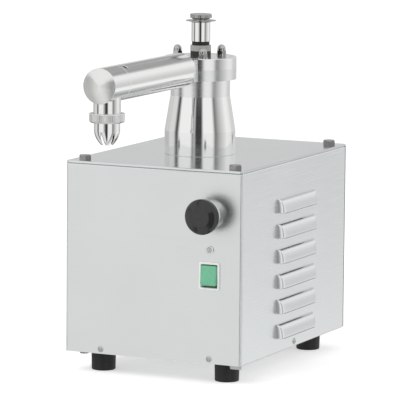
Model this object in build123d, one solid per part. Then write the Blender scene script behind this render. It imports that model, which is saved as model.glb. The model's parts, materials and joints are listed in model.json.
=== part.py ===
from build123d import *
import math
import os

# Cream whipper machine: a sheet-steel housing on four rubber feet, a turned tower on its lid,
# a gear pump in the tower's head, and a long whipping arm that ends in a star nozzle.
# Millimetres. +Z is up, the front faces -Y, the floor is Z = 0.
# Sizes below are written in the housing's own frame (Y = 0 at the housing's middle);
# every piece is moved by origin_shift when it is written, so that the origin ends up
# at the bottom centre of the whole machine.

# Housing
housing_w = 220.0
housing_d = 300.0
housing_h = 220.0
sheet_t = 1.5
bend_r = 2.5
lid_t = 2.5
lid_corner_r = 3.0
tray_t = 2.0
tray_flange_h = 15.0
corner_gap = 1.0
panel_flange = 7.0
front_flange = 8.5

# Feet
foot_h = 24.0
foot_r = 14.3
foot_taper = 0.5
foot_x = 78.0
foot_y = 116.0
foot_pocket_r = 7.0
foot_pocket_h = 14.0

# Corner posts and their screws
post_size = 14.0
post_inset = 16.0
lid_screw_r = 4.0
lid_screw_af = 13.0
lid_screw_head_h = 5.3
lid_screw_len = 22.0
m6_r = 3.0
m6_hole_r = 3.3
m6_head_r = 5.0
m6_head_h = 4.0
m6_len = 18.0
thread_gap = 0.05

# Panel screws
panel_screw_r = 2.0
panel_screw_head_r = 3.8
panel_screw_head_h = 1.8
panel_screw_z = 5.5
front_screw_xs = (-65.0, 71.0)
back_screw_xs = (-68.0, 68.0)

# Louvres in both side panels
louvre_count = 6
louvre_pitch = 29.0
louvre_low_z = 16.0
louvre_len = 104.0
louvre_h = 15.5
louvre_out = 7.5

# Controls on the front panel, measured from the panel's middle and down from the lid's top
controls_x = 71.0
push_drop = 50.5
lamp_below_push = 39.8
switch_below_lamp = 29.9
push_hole_r = 11.15
push_barrel_r = 11.0
push_bezel_r = 15.5
push_bezel_h = 10.5
push_head_r = 20.0
push_head_back = 16.5
push_head_t = 13.0
push_face_r = 11.8
push_bevel_h = 3.2
push_stem_r = 5.0
push_travel = 5.0
slide_gap = 0.3
running_gap = 0.05
bezel_w = 25.4
bezel_h = 31.7
bezel_t = 2.2
switch_hole_w = 22.0
switch_hole_h = 30.0
switch_depth = 22.0
rocker_w = 19.6
rocker_h = 22.8
rocker_out = 2.6
rocker_dish = 1.0
rocker_tilt = -8.0
rocker_pivot_depth = 3.0
rocker_pin_r = 1.5
lamp_r = 3.9
lamp_bezel_r = 4.6
lamp_lens_r = 3.2

# Tower
tower_x = -5.0
tower_y = -16.0
tower_base_r = 41.0
tower_base_h = 27.3
tower_cone_h = 40.4
tower_neck_r = 34.4
tower_h = 86.9
tower_bore_r = 26.0
tower_socket_h = 14.0
tower_web_t = 5.0
tower_screw_pcd = 67.0
tower_screw_count = 4

# Drive
shaft_r = 7.5
pump_shaft_r = 6.0
bearing_r = 17.5
bearing_h = 11.0
seal_h = 10.0
bracket_ring_t = 4.0
bracket_r = 55.0
bracket_leg = 12.0
motor_r = 62.0
motor_wall = 6.0
motor_top_drop = 49.5
motor_flange_t = 8.0
motor_screw_pcd = 104.0
core_clearance = 12.0
core_to_motor = 40.0
fan_intake_gap = 8.0
air_gap = 0.5
rotor_r = 32.5
motor_shaft_r = 7.0
fan_r = 50.0
fan_h = 14.0
fan_blades = 8
fan_cover_h = 30.0
fan_cover_t = 1.5
coupling_r = 20.0
hub_h = 14.0
spider_h = 6.0
jaw_inner_r = 9.0
jaw_w = 10.0
capacitor_r = 17.5
capacitor_h = 70.0
capacitor_x = 72.0
capacitor_y = 85.0

# Pump head
head_r = 41.5
pump_body_h = 13.1
pump_cover_h = 12.8
gear_teeth = 10
gear_module = 2.0
gear_pressure_angle = 25.0
gear_addendum = 1.8
gear_dedendum = 2.35
gear_backlash = 0.35
gear_h = 8.8
gear_end_gap = 0.1
gear_tip_gap = 0.2
idler_r = 4.0
port_x = 5.0
port_r = 3.0
port_chamber_r = 4.0
o_ring_t = 1.6
stud_circle_r = 29.5
stud_angles = (60.0, 180.0, 300.0)
stud_depth = 11.0
nut_af = 10.0
nut_h = 5.2
nut_dome_r = 4.75
nut_total_h = 12.0
boss_w = 30.0
boss_reach = 46.0
boss_depth = 13.0
nipple_r = 5.0
nipple_len = 22.0
nipple_hex_af = 14.0

# Arm
arm_rise = 100.9
arm_reach = 260.7
arm_r = 19.75
arm_wall = 2.5
arm_back = 50.3
arm_back_wall = 5.0
arm_back_round = 4.0
neck_r = 9.0
neck_collar_r = 11.5
cap_len = 38.4
cap_front_t = 3.0
cap_chamfer = 0.6
spigot_len = 14.0
spigot_wall = 4.0
lock_pin_r = 3.0
lock_pin_back = 8.0
lock_turn = 60.0
lock_pin_angles = (65.0, 245.0)
rod_core_r = 10.5
rod_disc_t = 3.0
rod_disc_count = 12
rod_gap = 0.2
stub_back = 19.5
stub_r = 15.15
stub_bore_r = 11.5

# Union nut and star nozzle, measured down from the arm's axis
union_r = 19.8
union_top_drop = 31.0
union_h = 10.2
union_lip_t = 1.6
union_ribs = 48
nozzle_flange_t = 1.5
nozzle_r = 14.5
nozzle_wall = 1.0
nozzle_straight_drop = 49.6
nozzle_tip_drop = 65.9
nozzle_tip_r = 7.4
nozzle_teeth = 6
nozzle_slot_h = 14.0
nozzle_slot_w = 4.4

# Air valve, heights above the pump cover
valve_base_r = 11.85
valve_base_h = 6.2
valve_spigot_r = 8.0
valve_spigot_depth = 8.0
scale_ring_r = 12.0
scale_ring_h = 6.6
valve_seal_r = 10.1
valve_seal_h = 4.5
sleeve_r = 10.9
sleeve_h = 22.0
valve_disc_r = 17.4
valve_disc_t = 1.4
valve_disc_dish = 1.2
knob_waist_r = 9.2
knob_waist_h = 3.4
knob_r = 12.6
knob_h = 4.4
knob_ribs = 40
needle_r = 4.0
needle_lift = 4.0
air_hole_r = 1.5

# Cable gland in the back panel
gland_x = -70.0
gland_z = 30.0
gland_thread_r = 8.0
gland_hex_af = 19.0
gland_hex_h = 5.0
gland_out = 20.0
gland_in = 8.0
gland_nut_h = 4.0
gland_bore_r = 4.0

# Levels and planes that follow from the sizes above
base_z = foot_h
lid_top = base_z + housing_h
push_z = housing_h - push_drop
lamp_z = push_z - lamp_below_push
switch_z = lamp_z - switch_below_lamp
lid_bottom = lid_top - lid_t
tray_top = base_z + tray_t
front_y = -housing_d / 2
back_y = housing_d / 2
side_x = housing_w / 2
inner_x = side_x - sheet_t
inner_y = back_y - sheet_t
post_x = side_x - post_inset
post_y = back_y - post_inset
tower_top = lid_top + tower_h
body_top = tower_top + pump_body_h
cover_top = body_top + pump_cover_h
arm_z = lid_top + arm_rise
arm_back_y = tower_y - arm_back
arm_front_y = tower_y - arm_reach
cap_back_y = arm_front_y + cap_len
spigot_r = arm_r - arm_wall - 2 * running_gap
groove_r = spigot_r - 2.0
nozzle_y = arm_front_y + stub_back
gear_distance = gear_module * gear_teeth
gear_tip_r = gear_distance / 2 + gear_addendum
pocket_r = gear_tip_r + gear_tip_gap
pocket_floor = body_top - gear_h - 2 * gear_end_gap
port_z = pocket_floor + port_r + 0.4
motor_top = lid_bottom - motor_top_drop
motor_bottom = tray_top + fan_intake_gap + fan_cover_h
motor_h = motor_top - motor_flange_t - motor_bottom
core_h = motor_h - core_to_motor
hub_low_z = motor_top + 8.0
shaft_low_z = hub_low_z + hub_h + spider_h
union_top = arm_z - union_top_drop
union_bottom = union_top - union_h
stub_bottom = union_bottom + union_lip_t + slide_gap + nozzle_flange_t
scale_ring_z = cover_top + valve_base_h
valve_seal_z = scale_ring_z + scale_ring_h
sleeve_z = valve_seal_z + valve_seal_h
sleeve_top = sleeve_z + sleeve_h
disc_z = sleeve_top + slide_gap
knob_z = disc_z + valve_disc_t
knob_top = knob_z + knob_waist_h + knob_h
gland_back_y = back_y + gland_out
origin_shift = -(min(arm_front_y, nozzle_y - union_r) + gland_back_y) / 2


def block(x0, x1, y0, y1, z0, z1):
    """A box given by its two faces along each axis."""
    middle = Pos((x0 + x1) / 2, (y0 + y1) / 2, (z0 + z1) / 2)
    return middle * Box(x1 - x0, y1 - y0, z1 - z0)


def upright(radius, z0, z1, x=0.0, y=0.0):
    """A cylinder along Z from z0 to z1."""
    return Pos(x, y, (z0 + z1) / 2) * Cylinder(radius, z1 - z0)


def along_y(radius, y0, y1, x, z):
    """A cylinder along Y from y0 to y1."""
    return Pos(x, (y0 + y1) / 2, z) * Rot(90, 0, 0) * Cylinder(radius, y1 - y0)


def along_x(radius, x0, x1, y, z):
    """A cylinder along X from x0 to x1."""
    return Pos((x0 + x1) / 2, y, z) * Rot(0, 90, 0) * Cylinder(radius, x1 - x0)


def turned(points, x=0.0, y=0.0):
    """A solid turned about a vertical axis from (radius, height) corners."""
    outline = Plane.XZ * make_face(Polyline(*points, close=True))
    return Pos(x, y, 0) * revolve(outline, Axis.Z)


def hexagon_bar(across_flats, height):
    """A hexagonal bar standing on Z = 0."""
    return extrude(RegularPolygon(across_flats / 2, 6, major_radius=False), height)


def corners(x, y):
    """The four points at plus and minus x and y."""
    return [(sx * x, sy * y) for sx in (-1, 1) for sy in (-1, 1)]


def around(count, radius, start=0.0):
    """Evenly spaced points on a circle, first at the start angle in degrees."""
    angles = [math.radians(start + 360.0 * i / count) for i in range(count)]
    return [(radius * math.cos(a), radius * math.sin(a)) for a in angles]


def at_tower(points):
    """Points about the tower's axis, in the housing's frame."""
    return [(tower_x + x, tower_y + y) for x, y in points]


# Housing pieces

def base_tray():
    """Tray under the whole machine; the panels close round its flange."""
    outer = block(-inner_x, inner_x, -inner_y, inner_y, base_z, base_z + tray_flange_h)
    outer = fillet(outer.edges().filter_by(Axis.Z), 2 * bend_r)
    wall_x = inner_x - tray_t
    wall_y = inner_y - tray_t
    inner = block(-wall_x, wall_x, -wall_y, wall_y, tray_top, base_z + tray_flange_h + 1)
    inner = fillet(inner.edges().filter_by(Axis.Z), 2 * bend_r - tray_t)
    tray = outer - inner
    for x, y in corners(foot_x, foot_y) + corners(post_x, post_y):
        tray -= upright(m6_hole_r, base_z - 1, tray_top + 1, x, y)
    for x, y in at_tower(around(6, 30.0)):
        tray -= upright(6.0, base_z - 1, tray_top + 1, x, y)
    for x in front_screw_xs:
        tray -= along_y(panel_screw_r + thread_gap, -inner_y - 1, -wall_y + 1, x, base_z + panel_screw_z)
    for x in back_screw_xs:
        tray -= along_y(panel_screw_r + thread_gap, wall_y - 1, inner_y + 1, x, base_z + panel_screw_z)
    for side in (-1, 1):
        x0, x1 = sorted((side * (wall_x - 1), side * (inner_x + 1)))
        tray -= along_x(panel_screw_r + thread_gap, x0, x1, 0.0, base_z + panel_screw_z)
    lug_right = inner_x - 1.0
    return tray + block(lug_right - 13.0, lug_right, -inner_y + 5.0, -inner_y + 7.0, base_z - 5.0, tray_top)


def foot():
    """Rubber foot with a pocket for its screw head."""
    low_r = foot_r - foot_taper
    body = turned([(0, 0), (low_r, 0), (foot_r, foot_h), (0, foot_h)])
    body = fillet(body.edges().group_by(Axis.Z)[0], 1.2)
    body -= upright(foot_pocket_r, -1, foot_pocket_h)
    return body - upright(m6_hole_r, foot_pocket_h - 1, foot_h + 1)


def feet():
    return Compound([Pos(x, y, 0) * foot() for x, y in corners(foot_x, foot_y)])


def foot_screws():
    """Pan-head screws up through the feet, each with its nut above the tray."""
    low = foot_pocket_h - m6_head_h
    solids = []
    for x, y in corners(foot_x, foot_y):
        screw = upright(m6_head_r, low, foot_pocket_h, x, y)
        screw += upright(m6_r, foot_pocket_h, tray_top + 8.0, x, y)
        nut = Pos(x, y, tray_top) * hexagon_bar(nut_af, 5.0)
        nut -= upright(m6_r + thread_gap, tray_top - 1, tray_top + 6, x, y)
        solids += [screw, nut]
    return Compound(solids)


def corner_posts():
    """Square bars between tray and lid, tapped at both ends."""
    half = post_size / 2
    solids = []
    for x, y in corners(post_x, post_y):
        bar = block(x - half, x + half, y - half, y + half, tray_top, lid_bottom)
        bar = chamfer(bar.edges().filter_by(Axis.Z), 1.0)
        bar -= upright(lid_screw_r + thread_gap, lid_bottom - lid_screw_len, lid_bottom + 1, x, y)
        bar -= upright(m6_r + thread_gap, tray_top - 1, tray_top + 16.0, x, y)
        solids.append(bar)
    return Compound(solids)


def hem_blank(depth):
    """Face of a front or back panel with its bent edges, facing -Y at Y = 0."""
    outer = block(-side_x, side_x, 0, depth, base_z, lid_bottom)
    front_edges = outer.edges().filter_by(Axis.Z).group_by(Axis.Y)[0]
    top_edge = outer.edges().filter_by(Axis.X).group_by(Axis.Y)[0].group_by(Axis.Z)[-1]
    outer = fillet(front_edges + top_edge, bend_r)
    inner = block(-inner_x, inner_x, sheet_t, depth + 1, base_z - 1, lid_bottom - sheet_t)
    inner_edges = inner.edges().filter_by(Axis.Z).group_by(Axis.Y)[0]
    inner_top = inner.edges().filter_by(Axis.X).group_by(Axis.Y)[0].group_by(Axis.Z)[-1]
    inner = fillet(inner_edges + inner_top, bend_r - sheet_t)
    shell = outer - inner
    clear_x = inner_x - panel_flange - 1.0
    for side in (-1, 1):
        x0, x1 = sorted((side * clear_x, side * (side_x + 1)))
        shell -= block(x0, x1, bend_r, depth + 1, base_z - 1, lid_top)
    return shell


def front_panel():
    panel = Pos(0, front_y, 0) * hem_blank(front_flange)
    y0, y1 = front_y - 1, front_y + sheet_t + 1
    panel -= along_y(push_hole_r, y0, y1, controls_x, base_z + push_z)
    panel -= along_y(lamp_r + thread_gap, y0, y1, controls_x, base_z + lamp_z)
    half_w, half_h = switch_hole_w / 2, switch_hole_h / 2
    z = base_z + switch_z
    panel -= block(controls_x - half_w, controls_x + half_w, y0, y1, z - half_h, z + half_h)
    for x in front_screw_xs:
        panel -= along_y(panel_screw_r + thread_gap, y0, y1, x, base_z + panel_screw_z)
    return panel


def back_panel():
    panel = Pos(0, back_y, 0) * Rot(0, 0, 180) * hem_blank(front_flange)
    y0, y1 = back_y - sheet_t - 1, back_y + 1
    panel -= along_y(gland_thread_r + thread_gap, y0, y1, gland_x, base_z + gland_z)
    for x in back_screw_xs:
        panel -= along_y(panel_screw_r + thread_gap, y0, y1, x, base_z + panel_screw_z)
    return panel


def louvre_solid(radius, half):
    """Round-backed bar with spherical ends; the louvre is the part outside the panel's face."""
    bar = Rot(90, 0, 0) * Cylinder(radius, 2 * half)
    return bar + [Pos(0, side * half, 0) * Sphere(radius) for side in (-1, 1)]


def louvre_parts():
    """Hood and air slot of one louvre, in place on the right-hand panel at height 0."""
    half = louvre_len / 2 - louvre_h
    radius = (louvre_out ** 2 + louvre_h ** 2) / (2 * louvre_out)
    centre = Pos(side_x + louvre_out - radius, 0, 0)
    reach = louvre_len + 2 * louvre_h
    outside = block(side_x - sheet_t / 2, side_x + 2 * louvre_out, -reach, reach, 0, 2 * louvre_h)
    through = block(inner_x - 1.0, side_x + 2 * louvre_out, -reach, reach, -0.01, 2 * louvre_h)
    hood = centre * louvre_solid(radius, half) & outside
    slot = centre * louvre_solid(radius - sheet_t, half) & through
    return hood, slot


def side_panel():
    """Right-hand panel with its pressed louvres, open at their lower lips."""
    y0 = front_y + bend_r + corner_gap
    outer = block(side_x - panel_flange - sheet_t, side_x, y0, -y0, base_z, lid_bottom)
    top_edge = outer.edges().filter_by(Axis.Y).group_by(Axis.Z)[-1].sort_by(Axis.X)[-1:]
    outer = fillet(top_edge, bend_r)
    inner = block(side_x - 3 * panel_flange, inner_x, y0 - 1, 1 - y0, base_z - 1, lid_bottom - sheet_t)
    inner_top = inner.edges().filter_by(Axis.Y).group_by(Axis.Z)[-1].sort_by(Axis.X)[-1:]
    panel = outer - fillet(inner_top, bend_r - sheet_t)
    hood, slot = louvre_parts()
    places = [Pos(0, 0, base_z + louvre_low_z + i * louvre_pitch) for i in range(louvre_count)]
    panel += [place * hood for place in places]
    panel -= [place * slot for place in places]
    return panel - along_x(panel_screw_r + thread_gap, inner_x - 1, side_x + 1, 0.0, base_z + panel_screw_z)


def top_plate():
    plate = block(-side_x, side_x, front_y, back_y, lid_bottom, lid_top)
    plate = fillet(plate.edges().filter_by(Axis.Z), lid_corner_r)
    plate = fillet(plate.faces().sort_by(Axis.Z)[-1].edges(), 0.8)
    for x, y in corners(post_x, post_y):
        plate -= upright(lid_screw_r + 0.3, lid_bottom - 1, lid_top + 1, x, y)
    plate -= upright(tower_bore_r, lid_bottom - 1, lid_top + 1, tower_x, tower_y)
    for x, y in tower_screw_points():
        plate -= upright(m6_hole_r, lid_bottom - 1, lid_top + 1, x, y)
    return plate


def top_screws():
    """Hexagon screws that hold the lid on the corner posts."""
    solids = []
    for x, y in corners(post_x, post_y):
        head = hexagon_bar(lid_screw_af, lid_screw_head_h)
        crown = Cone(lid_screw_af / 2 + 4.0, lid_screw_af / 2 - 0.4, lid_screw_head_h)
        head = head & Pos(0, 0, lid_screw_head_h / 2) * crown
        screw = Pos(x, y, lid_top) * head
        screw += upright(lid_screw_r, lid_bottom - lid_screw_len + 2.0, lid_top, x, y)
        solids.append(screw)
    return Compound(solids)


def domed_screw(length):
    """Pan-head panel screw; its head bulges towards +Z, its shank goes down."""
    rise = panel_screw_head_h
    dome_r = (panel_screw_head_r ** 2 + rise ** 2) / (2 * rise)
    cap = Pos(0, 0, rise - dome_r) * Sphere(dome_r)
    cap = cap & upright(panel_screw_head_r, 0, rise + 1)
    slot = Pos(0, 0, rise) * Box(4.0, 0.9, 1.4) + Pos(0, 0, rise) * Box(0.9, 4.0, 1.4)
    return cap - slot + upright(panel_screw_r, -length, 0)


def panel_screws():
    z = base_z + panel_screw_z
    length = sheet_t + tray_t + 2.0
    solids = [Pos(x, front_y, z) * Rot(90, 0, 0) * domed_screw(length) for x in front_screw_xs]
    solids += [Pos(x, back_y, z) * Rot(-90, 0, 0) * domed_screw(length) for x in back_screw_xs]
    solids += [Pos(s * side_x, 0, z) * Rot(0, s * 90, 0) * domed_screw(length) for s in (-1, 1)]
    return Compound(solids)


def cable_gland():
    """Gland for the mains lead, with a through bore, and its nut inside the panel."""
    z = base_z + gland_z
    body = along_y(gland_thread_r, inner_y - gland_in, back_y + gland_out - 2.0, gland_x, z)
    body += Pos(gland_x, back_y, z) * Rot(-90, 0, 0) * hexagon_bar(gland_hex_af, gland_hex_h)
    dome = along_y(gland_hex_af / 2 - 0.5, back_y + gland_hex_h, back_y + gland_out, gland_x, z)
    body += fillet(dome.edges().group_by(Axis.Y)[-1], 4.0)
    body -= along_y(gland_bore_r, inner_y - 20, gland_back_y + 1, gland_x, z)
    nut = Pos(gland_x, inner_y, z) * Rot(90, 0, 0) * hexagon_bar(gland_hex_af + 3.0, gland_nut_h)
    nut -= along_y(gland_thread_r + thread_gap, inner_y - 20, inner_y + 1, gland_x, z)
    return Compound([body, nut])


# Controls

def rocker_body():
    """White switch housing: bezel in front of the panel, body behind it."""
    z = base_z + switch_z
    bezel = block(-bezel_w / 2, bezel_w / 2, -bezel_t, 0, -bezel_h / 2, bezel_h / 2)
    bezel = fillet(bezel.edges().filter_by(Axis.Y), 1.5)
    bezel = fillet(bezel.faces().sort_by(Axis.Y)[0].edges(), 0.8)
    gap = 2 * thread_gap
    half_w, half_h = switch_hole_w / 2 - gap, switch_hole_h / 2 - gap
    body = bezel + block(-half_w, half_w, 0, switch_depth, -half_h, half_h)
    window_w, window_h = rocker_w / 2 + slide_gap, rocker_h / 2 + 4 * slide_gap
    body -= block(-window_w, window_w, -bezel_t - 1, switch_depth - 8.0, -window_h, window_h)
    body -= along_x(rocker_pin_r, -half_w - 1, half_w + 1, rocker_pivot_depth, 0)
    return Pos(controls_x, front_y, z) * body


def rocker():
    """Green rocker, tipped to its off side, on the pivot pin."""
    half_w, half_h = rocker_w / 2, rocker_h / 2
    face = -bezel_t - rocker_pivot_depth - rocker_out
    low = half_h - 0.5
    upper = [(face + 0.7, half_h), (face, half_h - 0.8), (face + rocker_dish, 0)]
    lower = [(face, 0.8 - half_h), (face + 0.7, -half_h), (face + rocker_out, -half_h), (0.0, -low)]
    back = [(5.0, -3.0), (5.0, 3.0), (0.0, low), (face + rocker_out, half_h)]
    outline = Plane.YZ * make_face(Polyline(*upper, *lower, *back, close=True))
    body = Pos(-half_w, 0, 0) * extrude(outline, rocker_w)
    body -= along_x(rocker_pin_r + running_gap, -rocker_w, rocker_w, 0, 0)
    place = Pos(controls_x, front_y + rocker_pivot_depth, base_z + switch_z)
    return place * Rot(rocker_tilt, 0, 0) * body


def rocker_pin():
    half = switch_hole_w / 2 - 2 * thread_gap
    y, z = front_y + rocker_pivot_depth, base_z + switch_z
    return along_x(rocker_pin_r, controls_x - half, controls_x + half, y, z)


def push_axis():
    """Place of the push button: its own +Z points out of the front panel."""
    return Pos(controls_x, front_y, base_z + push_z) * Rot(90, 0, 0)


def push_bezel():
    """Bright collar with a threaded barrel through the panel and a spring recess."""
    collar = upright(push_bezel_r, 0, push_bezel_h)
    collar = fillet(collar.edges().group_by(Axis.Z)[-1], 1.5)
    collar += upright(push_barrel_r, -22.0, 0)
    collar -= upright(push_stem_r + running_gap, -23.0, push_bezel_h + 1)
    return push_axis() * (collar - upright(9.0, push_bezel_h - 5.0, push_bezel_h + 1))


def push_nut():
    nut = Pos(0, 0, -sheet_t - 4.0) * hexagon_bar(27.0, 4.0)
    return push_axis() * (nut - upright(push_barrel_r + thread_gap, -10, 0))


def push_head():
    """Black mushroom head, hollow at the back for the spring."""
    top = push_head_back + push_head_t
    rim = push_head_r
    profile = [(0, push_head_back), (rim - 2.0, push_head_back), (rim, push_head_back + 2.5)]
    profile += [(rim, top - push_bevel_h - 1.2), (rim - 1.0, top - push_bevel_h)]
    profile += [(push_face_r, top), (0, top)]
    head = turned(profile)
    head -= upright(10.0, push_head_back - 1, top - 6.0)
    return push_axis() * (head - upright(push_stem_r, top - 7.0, top - 3.0))


def push_stem():
    """Plunger: pressed into the head, with a stop collar behind the barrel."""
    top = push_head_back + push_head_t
    stem = upright(push_stem_r, -22.3 - push_travel, top - 3.0)
    return push_axis() * (stem + upright(8.0, -25.3, -22.3))


def push_spring():
    """Return spring between the collar's recess and the head."""
    low = push_bezel_h - 5.0 + 0.6
    high = push_head_back + push_head_t - 6.0 - 0.6
    path = Helix(pitch=(high - low) / 5.0, height=high - low, radius=7.2)
    start = Plane(origin=path @ 0, z_dir=path % 0)
    return push_axis() * Pos(0, 0, low) * sweep(start * Circle(0.55), path=path)


def contact_block():
    """Switch block clipped behind the push button's barrel."""
    z = base_z + push_z
    back = front_y + 22.0
    body = block(controls_x - 14, controls_x + 14, back, back + 34, z - 20, z + 20)
    pocket = along_y(10.0, back - 1, back + 5.0 + push_travel + 4.0, controls_x, z)
    return body - pocket


def indicator_holder():
    """Bright bezel of the signal lamp."""
    rim = upright(lamp_bezel_r, 0, 1.6)
    rim = chamfer(rim.edges().group_by(Axis.Z)[-1], 0.5)
    rim += upright(lamp_r, -12.0, 0)
    rim -= upright(lamp_lens_r, -8.0, 3.0)
    return Pos(controls_x, front_y, base_z + lamp_z) * Rot(90, 0, 0) * rim


def indicator_lens():
    """Clear domed lens in the lamp's bezel."""
    rise = 2.0
    dome_r = (lamp_lens_r ** 2 + rise ** 2) / (2 * rise)
    dome = Pos(0, 0, 1.2 + rise - dome_r) * Sphere(dome_r) & upright(lamp_lens_r, 1.2, 4.0)
    lens = upright(lamp_lens_r, -8.0, 1.2) + dome
    return Pos(controls_x, front_y, base_z + lamp_z) * Rot(90, 0, 0) * lens


# Tower and drive

def tower_screw_points():
    return at_tower(around(tower_screw_count, tower_screw_pcd / 2, 45.0))


def motor_screw_points():
    return at_tower(around(4, motor_screw_pcd / 2, 45.0))


def tower():
    """Turned tower: foot, cone and neck, with two bearing seats inside."""
    seat_low = lid_top + tower_socket_h
    web_low = seat_low + bearing_h
    seat_high = tower_top - seal_h - 1.0 - bearing_h
    profile = [(tower_bore_r, lid_top), (tower_base_r, lid_top), (tower_base_r, lid_top + tower_base_h)]
    profile += [(tower_neck_r, lid_top + tower_base_h + tower_cone_h), (tower_neck_r, tower_top)]
    profile += [(bearing_r, tower_top), (bearing_r, seat_high), (shaft_r + 3, seat_high)]
    profile += [(shaft_r + 3, seat_high - tower_web_t), (tower_bore_r - 3, seat_high - tower_web_t - 6)]
    profile += [(tower_bore_r - 3, web_low + tower_web_t), (shaft_r + 3, web_low + tower_web_t)]
    profile += [(shaft_r + 3, web_low), (bearing_r, web_low), (bearing_r, seat_low), (tower_bore_r, seat_low)]
    body = turned(profile, tower_x, tower_y)
    for x, y in tower_screw_points():
        body -= upright(m6_r + thread_gap, lid_top - 1, lid_top + 13.0, x, y)
    for x, y in stud_points():
        body -= upright(m6_r + thread_gap, tower_top - stud_depth, tower_top + 1, x, y)
    return body


def socket_screw(x, y, seat, tip):
    """Socket screw whose head rests on the seat level; the shank runs to the tip level."""
    side = 1 if tip < seat else -1
    low, high = sorted((seat, tip))
    head_low, head_high = sorted((seat, seat + side * m6_head_h))
    return upright(m6_r, low, high, x, y) + upright(m6_head_r, head_low, head_high, x, y)


def m6_screws():
    """Identical socket screws: tray to posts, bracket to tower, bracket to motor."""
    ring_low = lid_bottom - bracket_ring_t
    screws = [socket_screw(x, y, base_z, base_z + m6_len) for x, y in corners(post_x, post_y)]
    screws += [socket_screw(x, y, ring_low, ring_low + m6_len) for x, y in tower_screw_points()]
    screws += [socket_screw(x, y, motor_top, motor_top - m6_len) for x, y in motor_screw_points()]
    return Compound(screws)


def shaft_bearings():
    """Two ball-bearing units, one in each seat of the tower."""
    low = lid_top + tower_socket_h
    high = tower_top - seal_h - 1.0 - bearing_h
    rings = []
    for z in (low, high):
        ring = upright(bearing_r, z, z + bearing_h, tower_x, tower_y)
        ring -= upright(shaft_r + running_gap, z - 1, z + bearing_h + 1, tower_x, tower_y)
        rings.append(ring)
    return Compound(rings)


def shaft_seal():
    ring = upright(bearing_r, tower_top - seal_h, tower_top, tower_x, tower_y)
    return ring - upright(shaft_r + running_gap, tower_top - seal_h - 1, tower_top + 1, tower_x, tower_y)


def drive_shaft():
    """Shaft from the coupling through the tower to the pump's driving gear."""
    body = upright(shaft_r, shaft_low_z, tower_top - 0.3, tower_x, tower_y)
    body = chamfer(body.edges().group_by(Axis.Z)[0], 0.8)
    return body + upright(pump_shaft_r, tower_top - 0.3, pocket_floor + gear_h, tower_x, tower_y)


def motor_bracket():
    """Cast bracket: ring under the lid, four legs and the motor's upper end shield."""
    ring_low = lid_bottom - bracket_ring_t
    shield_low = motor_top - motor_flange_t
    half = bracket_leg / 2
    body = upright(bracket_r, ring_low, lid_bottom) + upright(motor_r, shield_low, motor_top)
    for x, y in around(4, bracket_r - half - 1.0):
        body += block(x - half, x + half, y - half, y + half, motor_top - 1, lid_bottom - 1)
    body -= upright(tower_bore_r, ring_low - 1, lid_bottom + 1)
    body -= upright(motor_shaft_r + running_gap, shield_low - 1, motor_top + 1)
    body = Pos(tower_x, tower_y, 0) * body
    for x, y in tower_screw_points():
        body -= upright(m6_hole_r, ring_low - 1, lid_bottom + 1, x, y)
    for x, y in motor_screw_points():
        body -= upright(m6_hole_r, shield_low - 1, motor_top + 1, x, y)
    return body


def motor_housing():
    """Motor frame with cooling ribs and a closed lower end."""
    top = motor_top - motor_flange_t
    body = upright(motor_r - 3.0, motor_bottom, top, tower_x, tower_y)
    for i in range(12):
        rib = block(motor_r - 5.0, motor_r, -2.0, 2.0, motor_bottom, top)
        body += Pos(tower_x, tower_y, 0) * Rot(0, 0, 30.0 * i) * rib
    body -= upright(motor_r - motor_wall, motor_bottom + motor_wall, top + 1, tower_x, tower_y)
    for x, y in motor_screw_points():
        boss = upright(5.5, top - 16.0, top, x, y)
        boss = boss & upright(motor_r - 3.0, motor_bottom, top, tower_x, tower_y)
        body = body + boss - upright(m6_r + thread_gap, top - 12.0, top + 1, x, y)
    bush_r = motor_shaft_r + running_gap
    return body - upright(bush_r, motor_bottom - 1, motor_bottom + motor_wall + 1, tower_x, tower_y)


def stator_core():
    """Laminated stator ring with six winding slots."""
    low = motor_bottom + motor_wall + core_clearance
    core = upright(motor_r - motor_wall, low, low + core_h)
    core -= upright(rotor_r + air_gap, low - 1, low + core_h + 1)
    for i in range(6):
        core -= Rot(0, 0, 60.0 * i) * block(rotor_r, rotor_r + 12.0, -5.0, 5.0, low - 1, low + core_h + 1)
    return Pos(tower_x, tower_y, 0) * core


def rotor():
    """Motor shaft with the rotor core on it."""
    low = motor_bottom + motor_wall + core_clearance
    body = upright(rotor_r, low, low + core_h, tower_x, tower_y)
    shaft = upright(motor_shaft_r, motor_bottom - 22.0, hub_low_z + hub_h - 0.5, tower_x, tower_y)
    return body + shaft


def motor_fan():
    """Cooling fan on the lower end of the motor's shaft."""
    top = motor_bottom - 4.0
    low = top - fan_h
    body = upright(12.0, low, top, tower_x, tower_y) + upright(fan_r, top - 2.0, top, tower_x, tower_y)
    for i in range(fan_blades):
        blade = block(10.0, fan_r - 1.0, -1.0, 1.0, low, top)
        body += Pos(tower_x, tower_y, 0) * Rot(0, 0, 360.0 * i / fan_blades) * blade
    return body - upright(motor_shaft_r, low - 1, top + 1, tower_x, tower_y)


def fan_cover():
    """Pressed cap round the fan, slotted underneath for the cooling air."""
    low = motor_bottom - fan_cover_h
    body = upright(motor_r, low, motor_bottom)
    body = fillet(body.edges().group_by(Axis.Z)[0], 4.0)
    body -= upright(motor_r - fan_cover_t, low + fan_cover_t, motor_bottom + 1)
    for i in range(-4, 5):
        x = 10.0 * i
        half = math.sqrt(46.0 ** 2 - x ** 2)
        body -= block(x - 1.8, x + 1.8, -half, half, low - 1, low + 3)
    return Pos(tower_x, tower_y, 0) * body


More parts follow.
